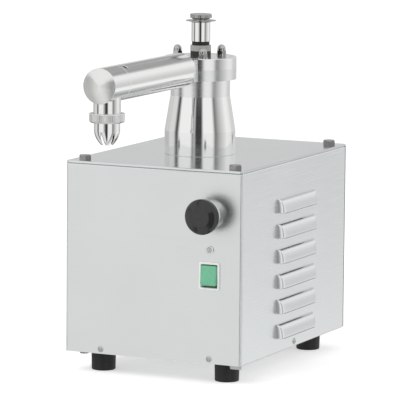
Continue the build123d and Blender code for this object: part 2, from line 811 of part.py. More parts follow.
def coupling_hubs():
    """Two jaw hubs, one on each shaft end, facing each other across the spider."""
    solids = []
    for low, bore, up in ((hub_low_z, motor_shaft_r, 1), (shaft_low_z, shaft_r, -1)):
        hub = upright(coupling_r, low, low + hub_h, tower_x, tower_y)
        jaw_z = low + hub_h if up > 0 else low - spider_h
        for i in range(3):
            turn = 120.0 * i + (0.0 if up > 0 else 60.0)
            jaw = block(jaw_inner_r, coupling_r + 5, -jaw_w / 2, jaw_w / 2, jaw_z, jaw_z + spider_h)
            jaw = Rot(0, 0, turn) * (jaw & upright(coupling_r, jaw_z, jaw_z + spider_h))
            hub += Pos(tower_x, tower_y, 0) * jaw
        hub -= upright(bore, low - spider_h - 1, low + hub_h + spider_h + 1, tower_x, tower_y)
        solids.append(hub)
    return Compound(solids)


def coupling_spider():
    """Rubber star between the jaws."""
    low, high = hub_low_z + hub_h, shaft_low_z
    ring = upright(coupling_r - 0.5, low, high)
    for i in range(6):
        gap = block(jaw_inner_r, 2 * coupling_r, -jaw_w / 2, jaw_w / 2, low - 1, high + 1)
        ring -= Rot(0, 0, 60.0 * i) * gap
    return Pos(tower_x, tower_y, 0) * (ring - upright(4.0, low - 1, high + 1))


def run_capacitor():
    """Motor capacitor standing on the tray."""
    body = upright(capacitor_r, tray_top, tray_top + capacitor_h, capacitor_x, capacitor_y)
    body = fillet(body.edges().group_by(Axis.Z)[-1], 3.0)
    for s in (-1, 1):
        body += block(capacitor_x + 6 * s - 0.4, capacitor_x + 6 * s + 0.4, capacitor_y - 3, capacitor_y + 3,
                      tray_top + capacitor_h - 1, tray_top + capacitor_h + 8)
    return body


# Pump head

def stud_points():
    angles = [math.radians(a) for a in stud_angles]
    return at_tower([(stud_circle_r * math.cos(a), stud_circle_r * math.sin(a)) for a in angles])


def stadium(radius, z0, z1):
    """Upright prism round both gear axes, radius mm from each, in the tower's frame."""
    ends = upright(radius, z0, z1) + upright(radius, z0, z1, gear_distance, 0)
    return ends + block(0, gear_distance, -radius, radius, z0, z1)


def seal_loop():
    """Groove round both gear pockets, filled by the rubber seal."""
    low = body_top - o_ring_t
    return stadium(pocket_r + 3.4, low, body_top) - stadium(pocket_r + 1.6, low - 1, body_top + 1)


def head_boss():
    """Block at the front of the head that takes the arm's neck."""
    top = cover_top - slide_gap
    boss = block(-boss_w / 2, boss_w / 2, -boss_reach, boss_depth - boss_reach, tower_top, top)
    return fillet(boss.edges().filter_by(Axis.Z).group_by(Axis.Y)[0], 3.0)


def pump_body():
    """Lower half of the head: gear pocket, suction and delivery ports, boss for the neck."""
    body = upright(head_r, tower_top, body_top) + head_boss()
    body -= upright(pocket_r, pocket_floor, body_top)
    body -= upright(pocket_r, pocket_floor, body_top, gear_distance, 0)
    for side in (-1, 1):
        body -= upright(port_chamber_r, pocket_floor, body_top, gear_distance / 2, side * 9.0)
        y0, y1 = sorted((side * 6.0, side * (boss_reach - 8.0)))
        body -= along_y(port_r, y0, y1, port_x, port_z)
    body -= along_y(neck_r + thread_gap, -boss_reach - 1, -boss_reach + 8.0, 0, arm_z)
    body -= along_y(nipple_r + thread_gap, head_r - 8.0, head_r + 1, port_x, port_z)
    body -= upright(pump_shaft_r + running_gap, tower_top - 1, pocket_floor + 1)
    body -= upright(idler_r, tower_top + 1.0, pocket_floor + 1, gear_distance, 0)
    body -= seal_loop()
    for a in stud_angles:
        x = stud_circle_r * math.cos(math.radians(a))
        y = stud_circle_r * math.sin(math.radians(a))
        body -= upright(m6_hole_r, tower_top - 1, body_top + 1, x, y)
    return Pos(tower_x, tower_y, 0) * body


def pump_o_ring():
    """Rubber seal in the groove round both gears."""
    return Pos(tower_x, tower_y, 0) * seal_loop()


def gear_outline():
    """Involute gear outline; teeth are thinned by the backlash."""
    pitch_r = gear_distance / 2
    alpha = math.radians(gear_pressure_angle)
    base_r = pitch_r * math.cos(alpha)
    root_r = pitch_r - gear_dedendum
    half_at_pitch = math.pi / (2 * gear_teeth) - gear_backlash / (4 * pitch_r)
    inv_alpha = math.tan(alpha) - alpha
    radii = [base_r + (gear_tip_r - base_r) * i / 6 for i in range(7)]

    def half_angle(r):
        angle = math.acos(min(1.0, base_r / r))
        return half_at_pitch + inv_alpha - (math.tan(angle) - angle)

    points = []
    for tooth in range(gear_teeth):
        middle = 2 * math.pi * tooth / gear_teeth
        rising = [(root_r, -half_angle(base_r))] + [(r, -half_angle(r)) for r in radii]
        falling = [(r, -a) for r, a in reversed(rising)]
        for r, a in rising + falling:
            points.append((r * math.cos(middle + a), r * math.sin(middle + a)))
    return make_face(Polyline(*points, close=True))


def gear(bore_r, turn):
    """Pump gear standing in the pocket, turned by the given angle."""
    low = pocket_floor + gear_end_gap
    body = Pos(0, 0, low) * extrude(gear_outline(), gear_h)
    body -= upright(bore_r, low - 1, low + gear_h + 1)
    return Rot(0, 0, turn) * body


def drive_gear():
    return Pos(tower_x, tower_y, 0) * gear(pump_shaft_r, 0.0)


def driven_gear():
    return Pos(tower_x + gear_distance, tower_y, 0) * gear(idler_r + running_gap, 180.0 / gear_teeth)


def idler_pin():
    return upright(idler_r, tower_top + 1.0, body_top, tower_x + gear_distance, tower_y)


def pump_cover():
    """Upper half of the head, with the air valve's seat and its channel to the suction side."""
    cover = upright(head_r, body_top, cover_top)
    cover = fillet(cover.edges().group_by(Axis.Z)[-1], 0.8)
    cover -= block(-boss_w / 2 - slide_gap, boss_w / 2 + slide_gap, -boss_reach - 5,
                   -boss_reach + boss_depth + slide_gap, body_top - 1, cover_top + 1)
    cover -= upright(valve_spigot_r + thread_gap, cover_top - valve_spigot_depth, cover_top + 1)
    channel_z = cover_top - valve_spigot_depth - 0.5
    channel_x = gear_distance / 2 - 2.0
    cover -= upright(needle_r - 1.0, channel_z - 1.0, cover_top - valve_spigot_depth + 1)
    cover -= along_y(air_hole_r, 0, 9.0, 0, channel_z)
    cover -= along_x(air_hole_r, -air_hole_r, channel_x + air_hole_r, 9.0, channel_z)
    cover -= upright(air_hole_r, body_top - 1, channel_z, channel_x, 9.0)
    for a in stud_angles:
        x = stud_circle_r * math.cos(math.radians(a))
        y = stud_circle_r * math.sin(math.radians(a))
        cover -= upright(m6_hole_r, body_top - 1, cover_top + 1, x, y)
    return Pos(tower_x, tower_y, 0) * cover


def pump_studs():
    return Compound([upright(m6_r, tower_top - stud_depth, cover_top + 8.0, x, y) for x, y in stud_points()])


def cap_nut():
    """Domed cap nut with a collar, closed at the top."""
    body = hexagon_bar(nut_af, nut_h)
    body = body & Pos(0, 0, nut_h / 2) * Cone(nut_af / 2 + 5.0, nut_af / 2 + 0.1, nut_h)
    body += upright(nut_dome_r, 0, nut_total_h - nut_dome_r)
    body += Pos(0, 0, nut_total_h - nut_dome_r) * Sphere(nut_dome_r)
    body += upright(nut_af / 2 + 0.9, 0, 1.2)
    keep = upright(20, 0, nut_total_h)
    return (body & keep) - upright(m6_r + thread_gap, -1, 8.2)


def cap_nuts():
    return Compound([Pos(x, y, cover_top) * cap_nut() for x, y in stud_points()])


def suction_nipple():
    """Hose nipple at the back of the pump body."""
    y = head_r - 8.0
    body = along_y(nipple_r, y, head_r + nipple_len, port_x, port_z)
    hexagon = Pos(port_x, head_r, port_z) * Rot(-90, 0, 0) * hexagon_bar(nipple_hex_af, 4.0)
    body += hexagon & block(-50, 50, 0, 80, tower_top - 0.6, cover_top)
    body -= along_y(port_r, y - 1, head_r + nipple_len + 1, port_x, port_z)
    return Pos(tower_x, tower_y, 0) * body


# Air valve

def ring(inner, outer, z0, z1):
    """A ring round the tower's axis."""
    return upright(outer, z0, z1, tower_x, tower_y) - upright(inner, z0 - 1, z1 + 1, tower_x, tower_y)


def valve_base():
    """Black bush screwed into the pump cover; the needle closes its seat."""
    body = upright(valve_base_r, cover_top, scale_ring_z)
    body += upright(valve_spigot_r, cover_top - valve_spigot_depth, cover_top)
    body -= upright(needle_r + running_gap, cover_top - valve_spigot_depth + 3.0, scale_ring_z + 1)
    return Pos(tower_x, tower_y, 0) * (body - upright(1.5, cover_top - valve_spigot_depth - 1, scale_ring_z))


def valve_scale_ring():
    body = ring(valve_spigot_r, scale_ring_r, scale_ring_z, valve_seal_z)
    rim = body.edges().group_by(Axis.Z)[-1].sort_by(SortBy.RADIUS)[-1:]
    return fillet(rim, 0.8)


def valve_seal():
    return ring(valve_spigot_r, valve_seal_r, valve_seal_z, sleeve_z)


def valve_sleeve():
    """Polished tube that guides the needle and lets air in through two holes."""
    body = upright(sleeve_r, sleeve_z, sleeve_top) + upright(valve_spigot_r, scale_ring_z, sleeve_z)
    body -= upright(needle_r + running_gap, scale_ring_z - 1, sleeve_z + 6.0)
    body -= upright(needle_r + 2.0, sleeve_z + 6.0, sleeve_top + 1)
    body -= along_y(air_hole_r, 0, sleeve_r + 1, 0, sleeve_z + 10.0)
    return Pos(tower_x, tower_y, 0) * body


def valve_disc():
    """Thin dished disc under the knob, which keeps drops out of the sleeve."""
    t, dish = valve_disc_t, valve_disc_dish
    profile = [(knob_waist_r - 2, 0), (sleeve_r, 0), (valve_disc_r, dish), (valve_disc_r, dish + 0.6)]
    profile += [(valve_disc_r - 0.6, dish + 0.6), (sleeve_r, t), (knob_waist_r - 2, t)]
    return Pos(tower_x, tower_y, disc_z) * turned(profile)


def valve_knob():
    """Knurled knob with its screwed spindle."""
    top = valve_disc_t + knob_waist_h
    spindle_r = needle_r + 1.5
    profile = [(0, -12.0), (spindle_r, -12.0), (spindle_r, 0), (knob_waist_r - 2, 0)]
    profile += [(knob_waist_r - 2, valve_disc_t), (knob_waist_r, valve_disc_t)]
    profile += [(knob_waist_r, valve_disc_t + 0.5 * knob_waist_h), (knob_r - 0.8, top), (0, top)]
    head = upright(knob_r, top, top + knob_h)
    head = chamfer(head.edges().group_by(Axis.Z)[-1], 0.8)
    notches = [upright(0.6, top - 1, top + knob_h + 1, x, y) for x, y in around(knob_ribs, knob_r + 0.25)]
    body = turned(profile) + (head - notches)
    return Pos(tower_x, tower_y, disc_z) * (body - upright(needle_r - 1.4, -13.0, -1.0))


def valve_needle():
    """Needle: cone in the seat, guided by the sleeve, threaded stem in the knob's spindle."""
    seat = cover_top - valve_spigot_depth + 3.0
    stem_r = needle_r - 1.4 - running_gap
    shoulder = sleeve_z + 5.0
    stem_top = disc_z - 1.5 - needle_lift
    profile = [(0, seat + 0.3), (needle_r, seat + needle_r), (needle_r, shoulder)]
    profile += [(stem_r, shoulder), (stem_r, stem_top), (0, stem_top)]
    return turned(profile, tower_x, tower_y)


# Arm

def arm_neck():
    """Threaded neck between the head's boss and the arm."""
    y_head = tower_y - boss_reach + 6.0
    y_arm = arm_back_y - arm_back_wall
    body = along_y(neck_r, y_arm, y_head, tower_x, arm_z)
    body += along_y(neck_collar_r, arm_back_y, tower_y - boss_reach, tower_x, arm_z)
    return body - along_y(neck_r - 2.5, y_arm - 1, y_head + 1, tower_x, arm_z)


def arm_tube():
    """Whipping tube: rounded closed rear end, open front end for the cap."""
    body = along_y(arm_r, cap_back_y, arm_back_y, tower_x, arm_z)
    body = fillet(body.edges().group_by(Axis.Y)[-1], arm_back_round)
    body = chamfer(body.edges().group_by(Axis.Y)[0], cap_chamfer)
    body -= along_y(arm_r - arm_wall, cap_back_y - 1, arm_back_y - arm_back_wall, tower_x, arm_z)
    body -= along_y(neck_r, arm_back_y - arm_back_wall - 1, arm_back_y + 1, tower_x, arm_z)
    for angle in lock_pin_angles:
        body -= pin_bar(angle, lock_pin_r, arm_r + 1)
    return body


def pin_bar(angle, radius, reach):
    """Radial bar behind the arm's front seam, at an angle up from +X."""
    bar = Pos(reach / 2, 0, 0) * Rot(0, 90, 0) * Cylinder(radius, reach)
    return Pos(tower_x, cap_back_y + lock_pin_back, arm_z) * Rot(0, -angle, 0) * bar


def lock_pins():
    """Two pins in the tube's wall that run in the cap's groove."""
    pins = []
    for angle in lock_pin_angles:
        pin = pin_bar(angle, lock_pin_r, arm_r - 0.4)
        pins.append(pin - along_y(groove_r + 2 * slide_gap, cap_back_y - 5, cap_back_y + 30, tower_x, arm_z))
    return Compound(pins)


def labyrinth_rod():
    """Core with notched discs that whip the cream as it is pressed past them."""
    y0 = cap_back_y + spigot_len + 1.0
    y1 = arm_back_y - arm_back_wall - 0.5
    disc_r = arm_r - arm_wall - rod_gap
    body = along_y(rod_core_r, y0 + 3.0, y1 - 8.0, tower_x, arm_z)
    step = (y1 - 8.0 - y0 - rod_disc_t) / (rod_disc_count - 1)
    for i in range(rod_disc_count):
        y = y0 + i * step
        disc = along_y(disc_r, y, y + rod_disc_t, tower_x, arm_z)
        turn = 180.0 * (i % 2) + 45.0 * (i % 4)
        notch = block(rod_core_r, 30, -1, rod_disc_t + 1, -6.0, 6.0)
        notch = Pos(tower_x, y, arm_z) * Rot(0, turn, 0) * notch
        body += disc - notch
    return body + along_y(4.0, y1 - 8.5, y1, tower_x, arm_z)


def end_cap():
    """Front cap of the arm: outlet stub below, spigot with a bayonet groove behind."""
    spigot_end = cap_back_y + spigot_len
    groove_y = cap_back_y + lock_pin_back
    half = lock_pin_r + slide_gap
    body = along_y(arm_r, arm_front_y, cap_back_y - slide_gap, tower_x, arm_z)
    body = chamfer(body.edges().group_by(Axis.Y)[-1], cap_chamfer)
    body = fillet(body.edges().group_by(Axis.Y)[0], 0.5)
    body += along_y(spigot_r, cap_back_y - 1, spigot_end, tower_x, arm_z)
    groove = along_y(arm_r, groove_y - half, groove_y + half, tower_x, arm_z)
    body -= groove - along_y(groove_r, groove_y - 9, groove_y + 9, tower_x, arm_z)
    for angle in lock_pin_angles:
        entry = block(groove_r, arm_r, groove_y, spigot_end + 1, -half, half)
        body -= Pos(tower_x, 0, arm_z) * Rot(0, lock_turn - angle, 0) * entry
    body += upright(stub_r, stub_bottom, arm_z - 8.0, tower_x, nozzle_y)
    body -= along_y(spigot_r - spigot_wall, arm_front_y + cap_front_t, spigot_end + 1, tower_x, arm_z)
    return body - upright(stub_bore_r, stub_bottom - 1, arm_z, tower_x, nozzle_y)


def union_nut():
    """Knurled union nut that clamps the nozzle's flange under the stub."""
    body = upright(union_r, union_bottom, union_top)
    body = chamfer(body.edges().group_by(Axis.Z)[-1], 0.8)
    body = chamfer(body.edges().group_by(Axis.Z)[0], 2.0)
    ribs = around(union_ribs, union_r + 0.35)
    body -= [upright(0.7, union_bottom - 1, union_top + 1, x, y) for x, y in ribs]
    body -= upright(stub_r + slide_gap, union_bottom + union_lip_t, union_top + 1)
    body -= upright(nozzle_r + slide_gap, union_bottom - 1, union_top)
    return Pos(tower_x, nozzle_y, 0) * body


def star_nozzle():
    """Star nozzle: straight collar, conical tip cut into teeth."""
    straight = arm_z - nozzle_straight_drop
    tip = arm_z - nozzle_tip_drop
    flange = stub_bottom - nozzle_flange_t
    wall = nozzle_wall
    profile = [(stub_bore_r, stub_bottom), (stub_r, stub_bottom), (stub_r, flange), (nozzle_r, flange)]
    profile += [(nozzle_r, straight), (nozzle_tip_r, tip), (nozzle_tip_r - wall, tip)]
    profile += [(nozzle_r - wall - 0.3, straight), (nozzle_r - wall - 0.3, flange), (stub_bore_r, flange)]
    body = turned(profile)
    half = nozzle_slot_w / 2
    for i in range(nozzle_teeth):
        outline = Polyline((-half, tip - 1), (half, tip - 1), (0, tip + nozzle_slot_h), close=True)
        slot = extrude(Plane.XZ * make_face(outline), nozzle_r + 2)
        body -= Rot(0, 0, 30.0 + 360.0 * i / nozzle_teeth) * slot
    return Pos(tower_x, nozzle_y, 0) * body


NODES = {
    "base_tray": base_tray, "feet": feet, "foot_screws": foot_screws, "corner_posts": corner_posts,
    "front_panel": front_panel, "back_panel": back_panel, "right_panel": side_panel,
    "left_panel": lambda: mirror(side_panel(), Plane.YZ), "top_plate": top_plate,
    "top_screws": top_screws, "panel_screws": panel_screws, "m6_screws": m6_screws,
    "cable_gland": cable_gland, 
    "rocker_body": rocker_body, "rocker": rocker, "rocker_pin": rocker_pin,
    "push_bezel": push_bezel, "push_nut": push_nut, "push_head": push_head, "push_stem": push_stem,
    "push_spring": push_spring, "contact_block": contact_block,
    "indicator_holder": indicator_holder, "indicator_lens": indicator_lens,
    "tower": tower, "shaft_bearings": shaft_bearings, "shaft_seal": shaft_seal, "drive_shaft": drive_shaft,
    "motor_bracket": motor_bracket, "motor_housing": motor_housing,
    "stator_core": stator_core, "rotor": rotor, "motor_fan": motor_fan, "fan_cover": fan_cover,
    "coupling_hubs": coupling_hubs, "coupling_spider": coupling_spider, "run_capacitor": run_capacitor,
    "pump_body": pump_body, "pump_o_ring": pump_o_ring, "drive_gear": drive_gear, "driven_gear": driven_gear,
    "idler_pin": idler_pin, "pump_cover": pump_cover, "pump_studs": pump_studs, "cap_nuts": cap_nuts,
    "suction_nipple": suction_nipple,
    "valve_base": valve_base, "valve_scale_ring": valve_scale_ring, "valve_seal": valve_seal,
    "valve_sleeve": valve_sleeve, "valve_disc": valve_disc, "valve_knob": valve_knob,
    "valve_needle": valve_needle,
    "arm_neck": arm_neck, "arm_tube": arm_tube, "labyrinth_rod": labyrinth_rod, "end_cap": end_cap,
    "lock_pins": lock_pins, "union_nut": union_nut, "star_nozzle": star_nozzle,
}


def main():
    os.makedirs("parts", exist_ok=True)
    place = Pos(0, origin_shift, 0)
    for node, make in NODES.items():
        export_step(place * make(), f"parts/{node}.step")


if __name__ == "__main__":
    main()
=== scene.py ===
# %% [markdown]
# A cream whipper stands on a bakery counter: a folded steel housing on rubber feet, a turned
# tower with a pump in its head, and a long tube in which cream is whipped on its way to a star
# nozzle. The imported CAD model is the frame. Pieces whose plain CAD surface is good enough stay
# and get a finish; the rest are replaced by surfaces worked out as arrays.

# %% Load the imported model
import json
import math

import bmesh
import bpy
import numpy as np
from mathutils import Matrix, Vector


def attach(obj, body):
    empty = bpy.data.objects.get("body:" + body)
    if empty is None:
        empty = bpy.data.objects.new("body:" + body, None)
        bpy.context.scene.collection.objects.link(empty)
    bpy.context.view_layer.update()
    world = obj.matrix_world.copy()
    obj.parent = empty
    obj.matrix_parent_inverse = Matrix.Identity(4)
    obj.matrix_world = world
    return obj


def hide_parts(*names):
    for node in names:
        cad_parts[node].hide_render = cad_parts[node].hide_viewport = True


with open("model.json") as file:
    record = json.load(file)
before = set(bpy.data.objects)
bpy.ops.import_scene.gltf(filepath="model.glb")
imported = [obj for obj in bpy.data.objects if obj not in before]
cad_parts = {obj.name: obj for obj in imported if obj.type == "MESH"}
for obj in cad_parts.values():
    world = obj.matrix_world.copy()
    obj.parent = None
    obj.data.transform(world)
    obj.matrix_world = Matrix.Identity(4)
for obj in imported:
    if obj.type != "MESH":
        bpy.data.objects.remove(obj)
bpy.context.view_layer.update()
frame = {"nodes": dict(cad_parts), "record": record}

scene = bpy.context.scene
scene.view_settings.view_transform = "Standard"

# %% [markdown]
# The drawings of the machine are in millimetres with Y = 0 at the housing's middle, while the
# frame is in metres with Y = 0 at the middle of the whole machine. One shift and one scale lead
# from the first to the second, so every size below can be read as a drawing's size.

# %% Sizes of the machine, in millimetres
MM = 0.001
SHIFT = np.array([0.0, 53.5, 0.0])

HOUSING_HALF_W = 110.0
HOUSING_HALF_D = 150.0
FLOOR_GAP = 24.0
LID_BOTTOM = 241.5
LID_TOP = 244.0
SHEET = 1.5
TOWER = (-5.0, -16.0)
TOWER_TOP = LID_TOP + 86.9
ARM_Z = LID_TOP + 100.9
ARM_R = 19.75
ARM_START = 50.3
ARM_SEAM = 222.3
ARM_END = 260.7
NOZZLE_Y = TOWER[1] - ARM_END + 19.5
STUB_R = 15.15
UNION_BOTTOM = ARM_Z - 41.2
UNION_TOP = ARM_Z - 31.0
STUB_BOTTOM = UNION_BOTTOM + 3.4
CONTROLS_X = 71.0
PUSH_Z = FLOOR_GAP + 169.5
SWITCH_Z = FLOOR_GAP + 99.8
print("arm axis", ARM_Z, "mm above the floor")

# %% [markdown]
# The photographer stood about four metres away with a long lens, to the right of the machine
# and a little above it. The view's place and angles were worked out from the corners of the
# housing, and the camera is built from those three directions: right, up and backwards.

# %% Camera
AZIMUTH = math.radians(24.946)
PITCH = math.radians(7.789)
ROLL = math.radians(0.5198)
ahead = np.array([
    -math.sin(AZIMUTH) * math.cos(PITCH), math.cos(AZIMUTH) * math.cos(PITCH), -math.sin(PITCH)])
level_right = np.array([math.cos(AZIMUTH), math.sin(AZIMUTH), 0.0])
level_up = np.cross(level_right, ahead)
view_right = math.cos(ROLL) * level_right + math.sin(ROLL) * level_up
view_up = -math.sin(ROLL) * level_right + math.cos(ROLL) * level_up
spot = (np.array([1696.84, -3671.36, 739.81]) + SHIFT) * MM

lens = bpy.data.cameras.new("long_lens")
lens.sensor_width = 36.0
lens.lens = 315.39
lens.shift_x = -0.00125
lens.shift_y = 0.00125
lens.clip_end = 100.0
camera = bpy.data.objects.new("long_lens", lens)
scene.collection.objects.link(camera)
turn = np.column_stack([view_right, view_up, -ahead])
camera.matrix_world = Matrix.Translation(Vector(spot)) @ Matrix(turn.tolist()).to_4x4()
scene.camera = camera
print("camera", [round(v, 3) for v in spot], "lens", lens.lens, "mm")

# %% [markdown]
# Two small tools serve every finish: one turns a written sRGB colour into the linear values
# that a shader works with, the other adds a node, sets it up and links it in one line.

# %% Colour and node tools

def linear(code, alpha=1.0):
    """sRGB hex to linear RGBA: below 0.04045 divide by 12.92, above it ((c + 0.055) / 1.055) ** 2.4."""
    values = [int(code[k:k + 2], 16) / 255 for k in (1, 3, 5)]
    return tuple(c / 12.92 if c <= 0.04045 else ((c + 0.055) / 1.055) ** 2.4 for c in values) + (alpha,)


def add_node(tree, kind, inputs=None, **settings):
    """A node with its settings; each input is a constant or the socket that feeds it."""
    node = tree.nodes.new(kind)
    for key, value in settings.items():
        setattr(node, key, value)
    for key, value in (inputs or {}).items():
        if isinstance(value, bpy.types.NodeSocket):
            tree.links.new(value, node.inputs[key])
        else:
            node.inputs[key].default_value = value
    return node


def blank_finish(name, **sockets):
    """A material with one Principled shader; the keywords set its own sockets."""
    material = bpy.data.materials.new(name)
    material.use_nodes = True
    shader = material.node_tree.nodes["Principled BSDF"]
    for key, value in sockets.items():
        shader.inputs[key.replace("_", " ")].default_value = value
    return material, material.node_tree, shader


print("white is", linear("#ffffff"))

# %% [markdown]
# The housing is stainless sheet with a satin finish. A belt drew fine parallel scratches over
# it, so it mirrors things softly and a little longer across the scratches than along them. Real
# scratches are 0.05 mm apart; here they are drawn about 0.9 mm wide so that they show, as a
# noise stretched along the belt's direction that moves roughness, tone and height slightly.

# %% Belt-brushed stainless sheet
ROUGH_SWING = 0.04
SCRATCH_RELIEF_MM = 0.003


def brushed_sheet(name, tone_low, tone_high, across_mm, along_mm, along, rough, cloud_mm=90.0):
    """Noise with cells across_mm wide and along_mm long, plus a faint cloud of cloud_mm."""
    material, tree, shader = blank_finish(name, Metallic=1.0)
    place = add_node(tree, "ShaderNodeTexCoord")
    stretch = [1 / (across_mm * MM)] * 3
    stretch["XYZ".index(along)] = 1 / (along_mm * MM)
    lines = add_node(tree, "ShaderNodeMapping", {"Vector": place.outputs["Object"], "Scale": stretch})
    streak = add_node(tree, "ShaderNodeTexNoise", {"Vector": lines.outputs[0], "Scale": 1.0, "Detail": 3.0})
    cloud = add_node(tree, "ShaderNodeTexNoise",
                     {"Vector": place.outputs["Object"], "Scale": 1 / (cloud_mm * MM), "Detail": 2.0})
    blend = add_node(tree, "ShaderNodeMath", {0: streak.outputs[0], 1: cloud.outputs[0]}, operation="ADD")
    half = add_node(tree, "ShaderNodeMath", {0: blend.outputs[0], 1: 0.5}, operation="MULTIPLY")
    tone = add_node(tree, "ShaderNodeValToRGB", {"Fac": half.outputs[0]})
    tone.color_ramp.elements[0].position = 0.35
    tone.color_ramp.elements[0].color = linear(tone_low)
    tone.color_ramp.elements[1].position = 0.65
    tone.color_ramp.elements[1].color = linear(tone_high)
    tree.links.new(tone.outputs[0], shader.inputs["Base Color"])
    rough_range = add_node(tree, "ShaderNodeMapRange", {
        "Value": streak.outputs[0], "From Min": 0.3, "From Max": 0.7,
        "To Min": rough - ROUGH_SWING, "To Max": rough + ROUGH_SWING})
    tree.links.new(rough_range.outputs[0], shader.inputs["Roughness"])
    relief = add_node(tree, "ShaderNodeBump", {
        "Height": streak.outputs[0], "Distance": SCRATCH_RELIEF_MM * MM, "Strength": 0.6})
    tree.links.new(relief.outputs[0], shader.inputs["Normal"])
    return material


front_sheet = brushed_sheet("stainless_front_brushed", "#e4e7e6", "#e8ebea", 0.9, 70.0, "X", 0.34)
side_sheet = brushed_sheet("stainless_side_brushed", "#e6e9e9", "#eaeded", 0.9, 70.0, "Y", 0.24)
lid_sheet = brushed_sheet("stainless_lid_brushed", "#dcdfe0", "#e1e4e5", 0.7, 60.0, "Y", 0.16)
inner_sheet = brushed_sheet("stainless_tray_mill", "#b9bcbd", "#c6c9ca", 1.4, 40.0, "Y", 0.42)
print("sheet finishes made")

# %% [markdown]
# Tower, head and arm are turned on a lathe and then polished to different degrees. A lathe
# leaves rings round the axis, on a flat face as circles and on a cylinder as hoops, so the
# pattern reads two numbers only: the distance from the axis and the place along it.

# %% Lathe-turned steel
MICROMETRE = 1e-6


def turned_steel(name, tone, rough, centre, axis, ring_mm=0.8, relief_um=0.6, spread=0.03, cone=0.0):
    """Noise of (distance from the axis, place along it); the normal leans outwards, at the rim by cone."""
    material, tree, shader = blank_finish(name, Metallic=1.0, Base_Color=linear(tone))
    place = add_node(tree, "ShaderNodeTexCoord")
    middle = (np.array(centre) + SHIFT) * MM
    offset = add_node(tree, "ShaderNodeVectorMath",
                      {0: place.outputs["Object"], 1: tuple(middle)}, operation="SUBTRACT")
    keep = [1.0, 1.0, 1.0]
    keep["XYZ".index(axis)] = 0.0
    flat = add_node(tree, "ShaderNodeVectorMath", {0: offset.outputs[0], 1: keep}, operation="MULTIPLY")
    radius = add_node(tree, "ShaderNodeVectorMath", {0: flat.outputs[0]}, operation="LENGTH")
    parts = add_node(tree, "ShaderNodeSeparateXYZ", {0: offset.outputs[0]})
    rings = add_node(tree, "ShaderNodeCombineXYZ",
                     {0: radius.outputs["Value"], 1: parts.outputs["XYZ".index(axis)]})
    grain = add_node(tree, "ShaderNodeTexNoise",
                     {"Vector": rings.outputs[0], "Scale": 1 / (ring_mm * MM), "Detail": 4.0})
    rough_range = add_node(tree, "ShaderNodeMapRange", {
        "Value": grain.outputs[0], "From Min": 0.3, "From Max": 0.7,
        "To Min": max(rough - spread, 0.0), "To Max": rough + spread})
    tree.links.new(rough_range.outputs[0], shader.inputs["Roughness"])
    relief = add_node(tree, "ShaderNodeBump",
                      {"Height": grain.outputs[0], "Distance": relief_um * MICROMETRE, "Strength": 1.0})
    if cone:
        # Grooves round the axis spread the mirrored light outwards, so the tangent points outwards.
        square = add_node(tree, "ShaderNodeMath", {0: radius.outputs["Value"], 1: 2.0}, operation="POWER")
        fall = add_node(tree, "ShaderNodeMath",
                        {0: square.outputs[0], 1: -cone / (2 * ARM_R * MM)}, operation="MULTIPLY")
        crown = add_node(tree, "ShaderNodeBump", {"Height": fall.outputs[0], "Distance": 1.0, "Strength": 1.0})
        tree.links.new(crown.outputs[0], relief.inputs["Normal"])
        outward = add_node(tree, "ShaderNodeVectorMath", {0: flat.outputs[0]}, operation="NORMALIZE")
        tree.links.new(outward.outputs[0], shader.inputs["Tangent"])
        shader.inputs["Anisotropic"].default_value = 1.0
    tree.links.new(relief.outputs[0], shader.inputs["Normal"])
    return material


on_tower = (TOWER[0], TOWER[1], 0.0)
on_arm = (TOWER[0], 0.0, ARM_Z)
on_nozzle = (TOWER[0], NOZZLE_Y, 0.0)
tower_mirror = turned_steel("stainless_turned_mirror", "#f2f2f1", 0.035, on_tower, "Z", relief_um=0.2)
tower_foot = turned_steel("stainless_turned_fine", "#eeeeed", 0.10, on_tower, "Z", 0.7, 1.2, 0.05)
tower_neck = turned_steel("stainless_turned_satin", "#ededed", 0.24, on_tower, "Z", 0.7, 1.0, 0.04)
head_polish = turned_steel("stainless_head_polished", "#eeeeee", 0.19, on_tower, "Z", 0.7, 0.8, 0.03)
head_satin = turned_steel("stainless_head_satin", "#e6e8e8", 0.25, on_tower, "Z", 0.7, 1.0, 0.03)
valve_polish = turned_steel("stainless_valve_polished", "#eeeeed", 0.07, on_tower, "Z", 0.5, 0.4, 0.02)
knob_satin = turned_steel("stainless_knob_satin", "#b4b4b2", 0.26, on_tower, "Z", 0.5, 0.8)
arm_polish = turned_steel("stainless_arm_polished", "#efefee", 0.12, on_arm, "Y", 0.7, 0.9, 0.03)
arm_face = turned_steel("stainless_arm_faced", "#efefed", 0.24, on_arm, "Y", 0.3, 0.5, 0.02, cone=0.50)
stub_polish = turned_steel("stainless_stub_polished", "#eeeeed", 0.10, on_nozzle, "Z", 0.6, 0.8, 0.02)
union_satin = turned_steel("stainless_union_satin", "#e8e8e6", 0.30, on_nozzle, "Z", 0.6, 1.0)
nozzle_polish = turned_steel("stainless_nozzle_drawn", "#f0f0ef", 0.08, on_nozzle, "Z", 1.2, 0.5, 0.02)
print("turned finishes made")

# %% [markdown]
# The small and hidden pieces need honest finishes too: zinc-plated screws, cast aluminium with
# its sand grain, moulded plastics whose skin has a slight orange peel, and rubber with a matte,
# faintly mottled face. One function covers them, since they differ in colour, gloss and grain.

# %% Cast, moulded and plated finishes

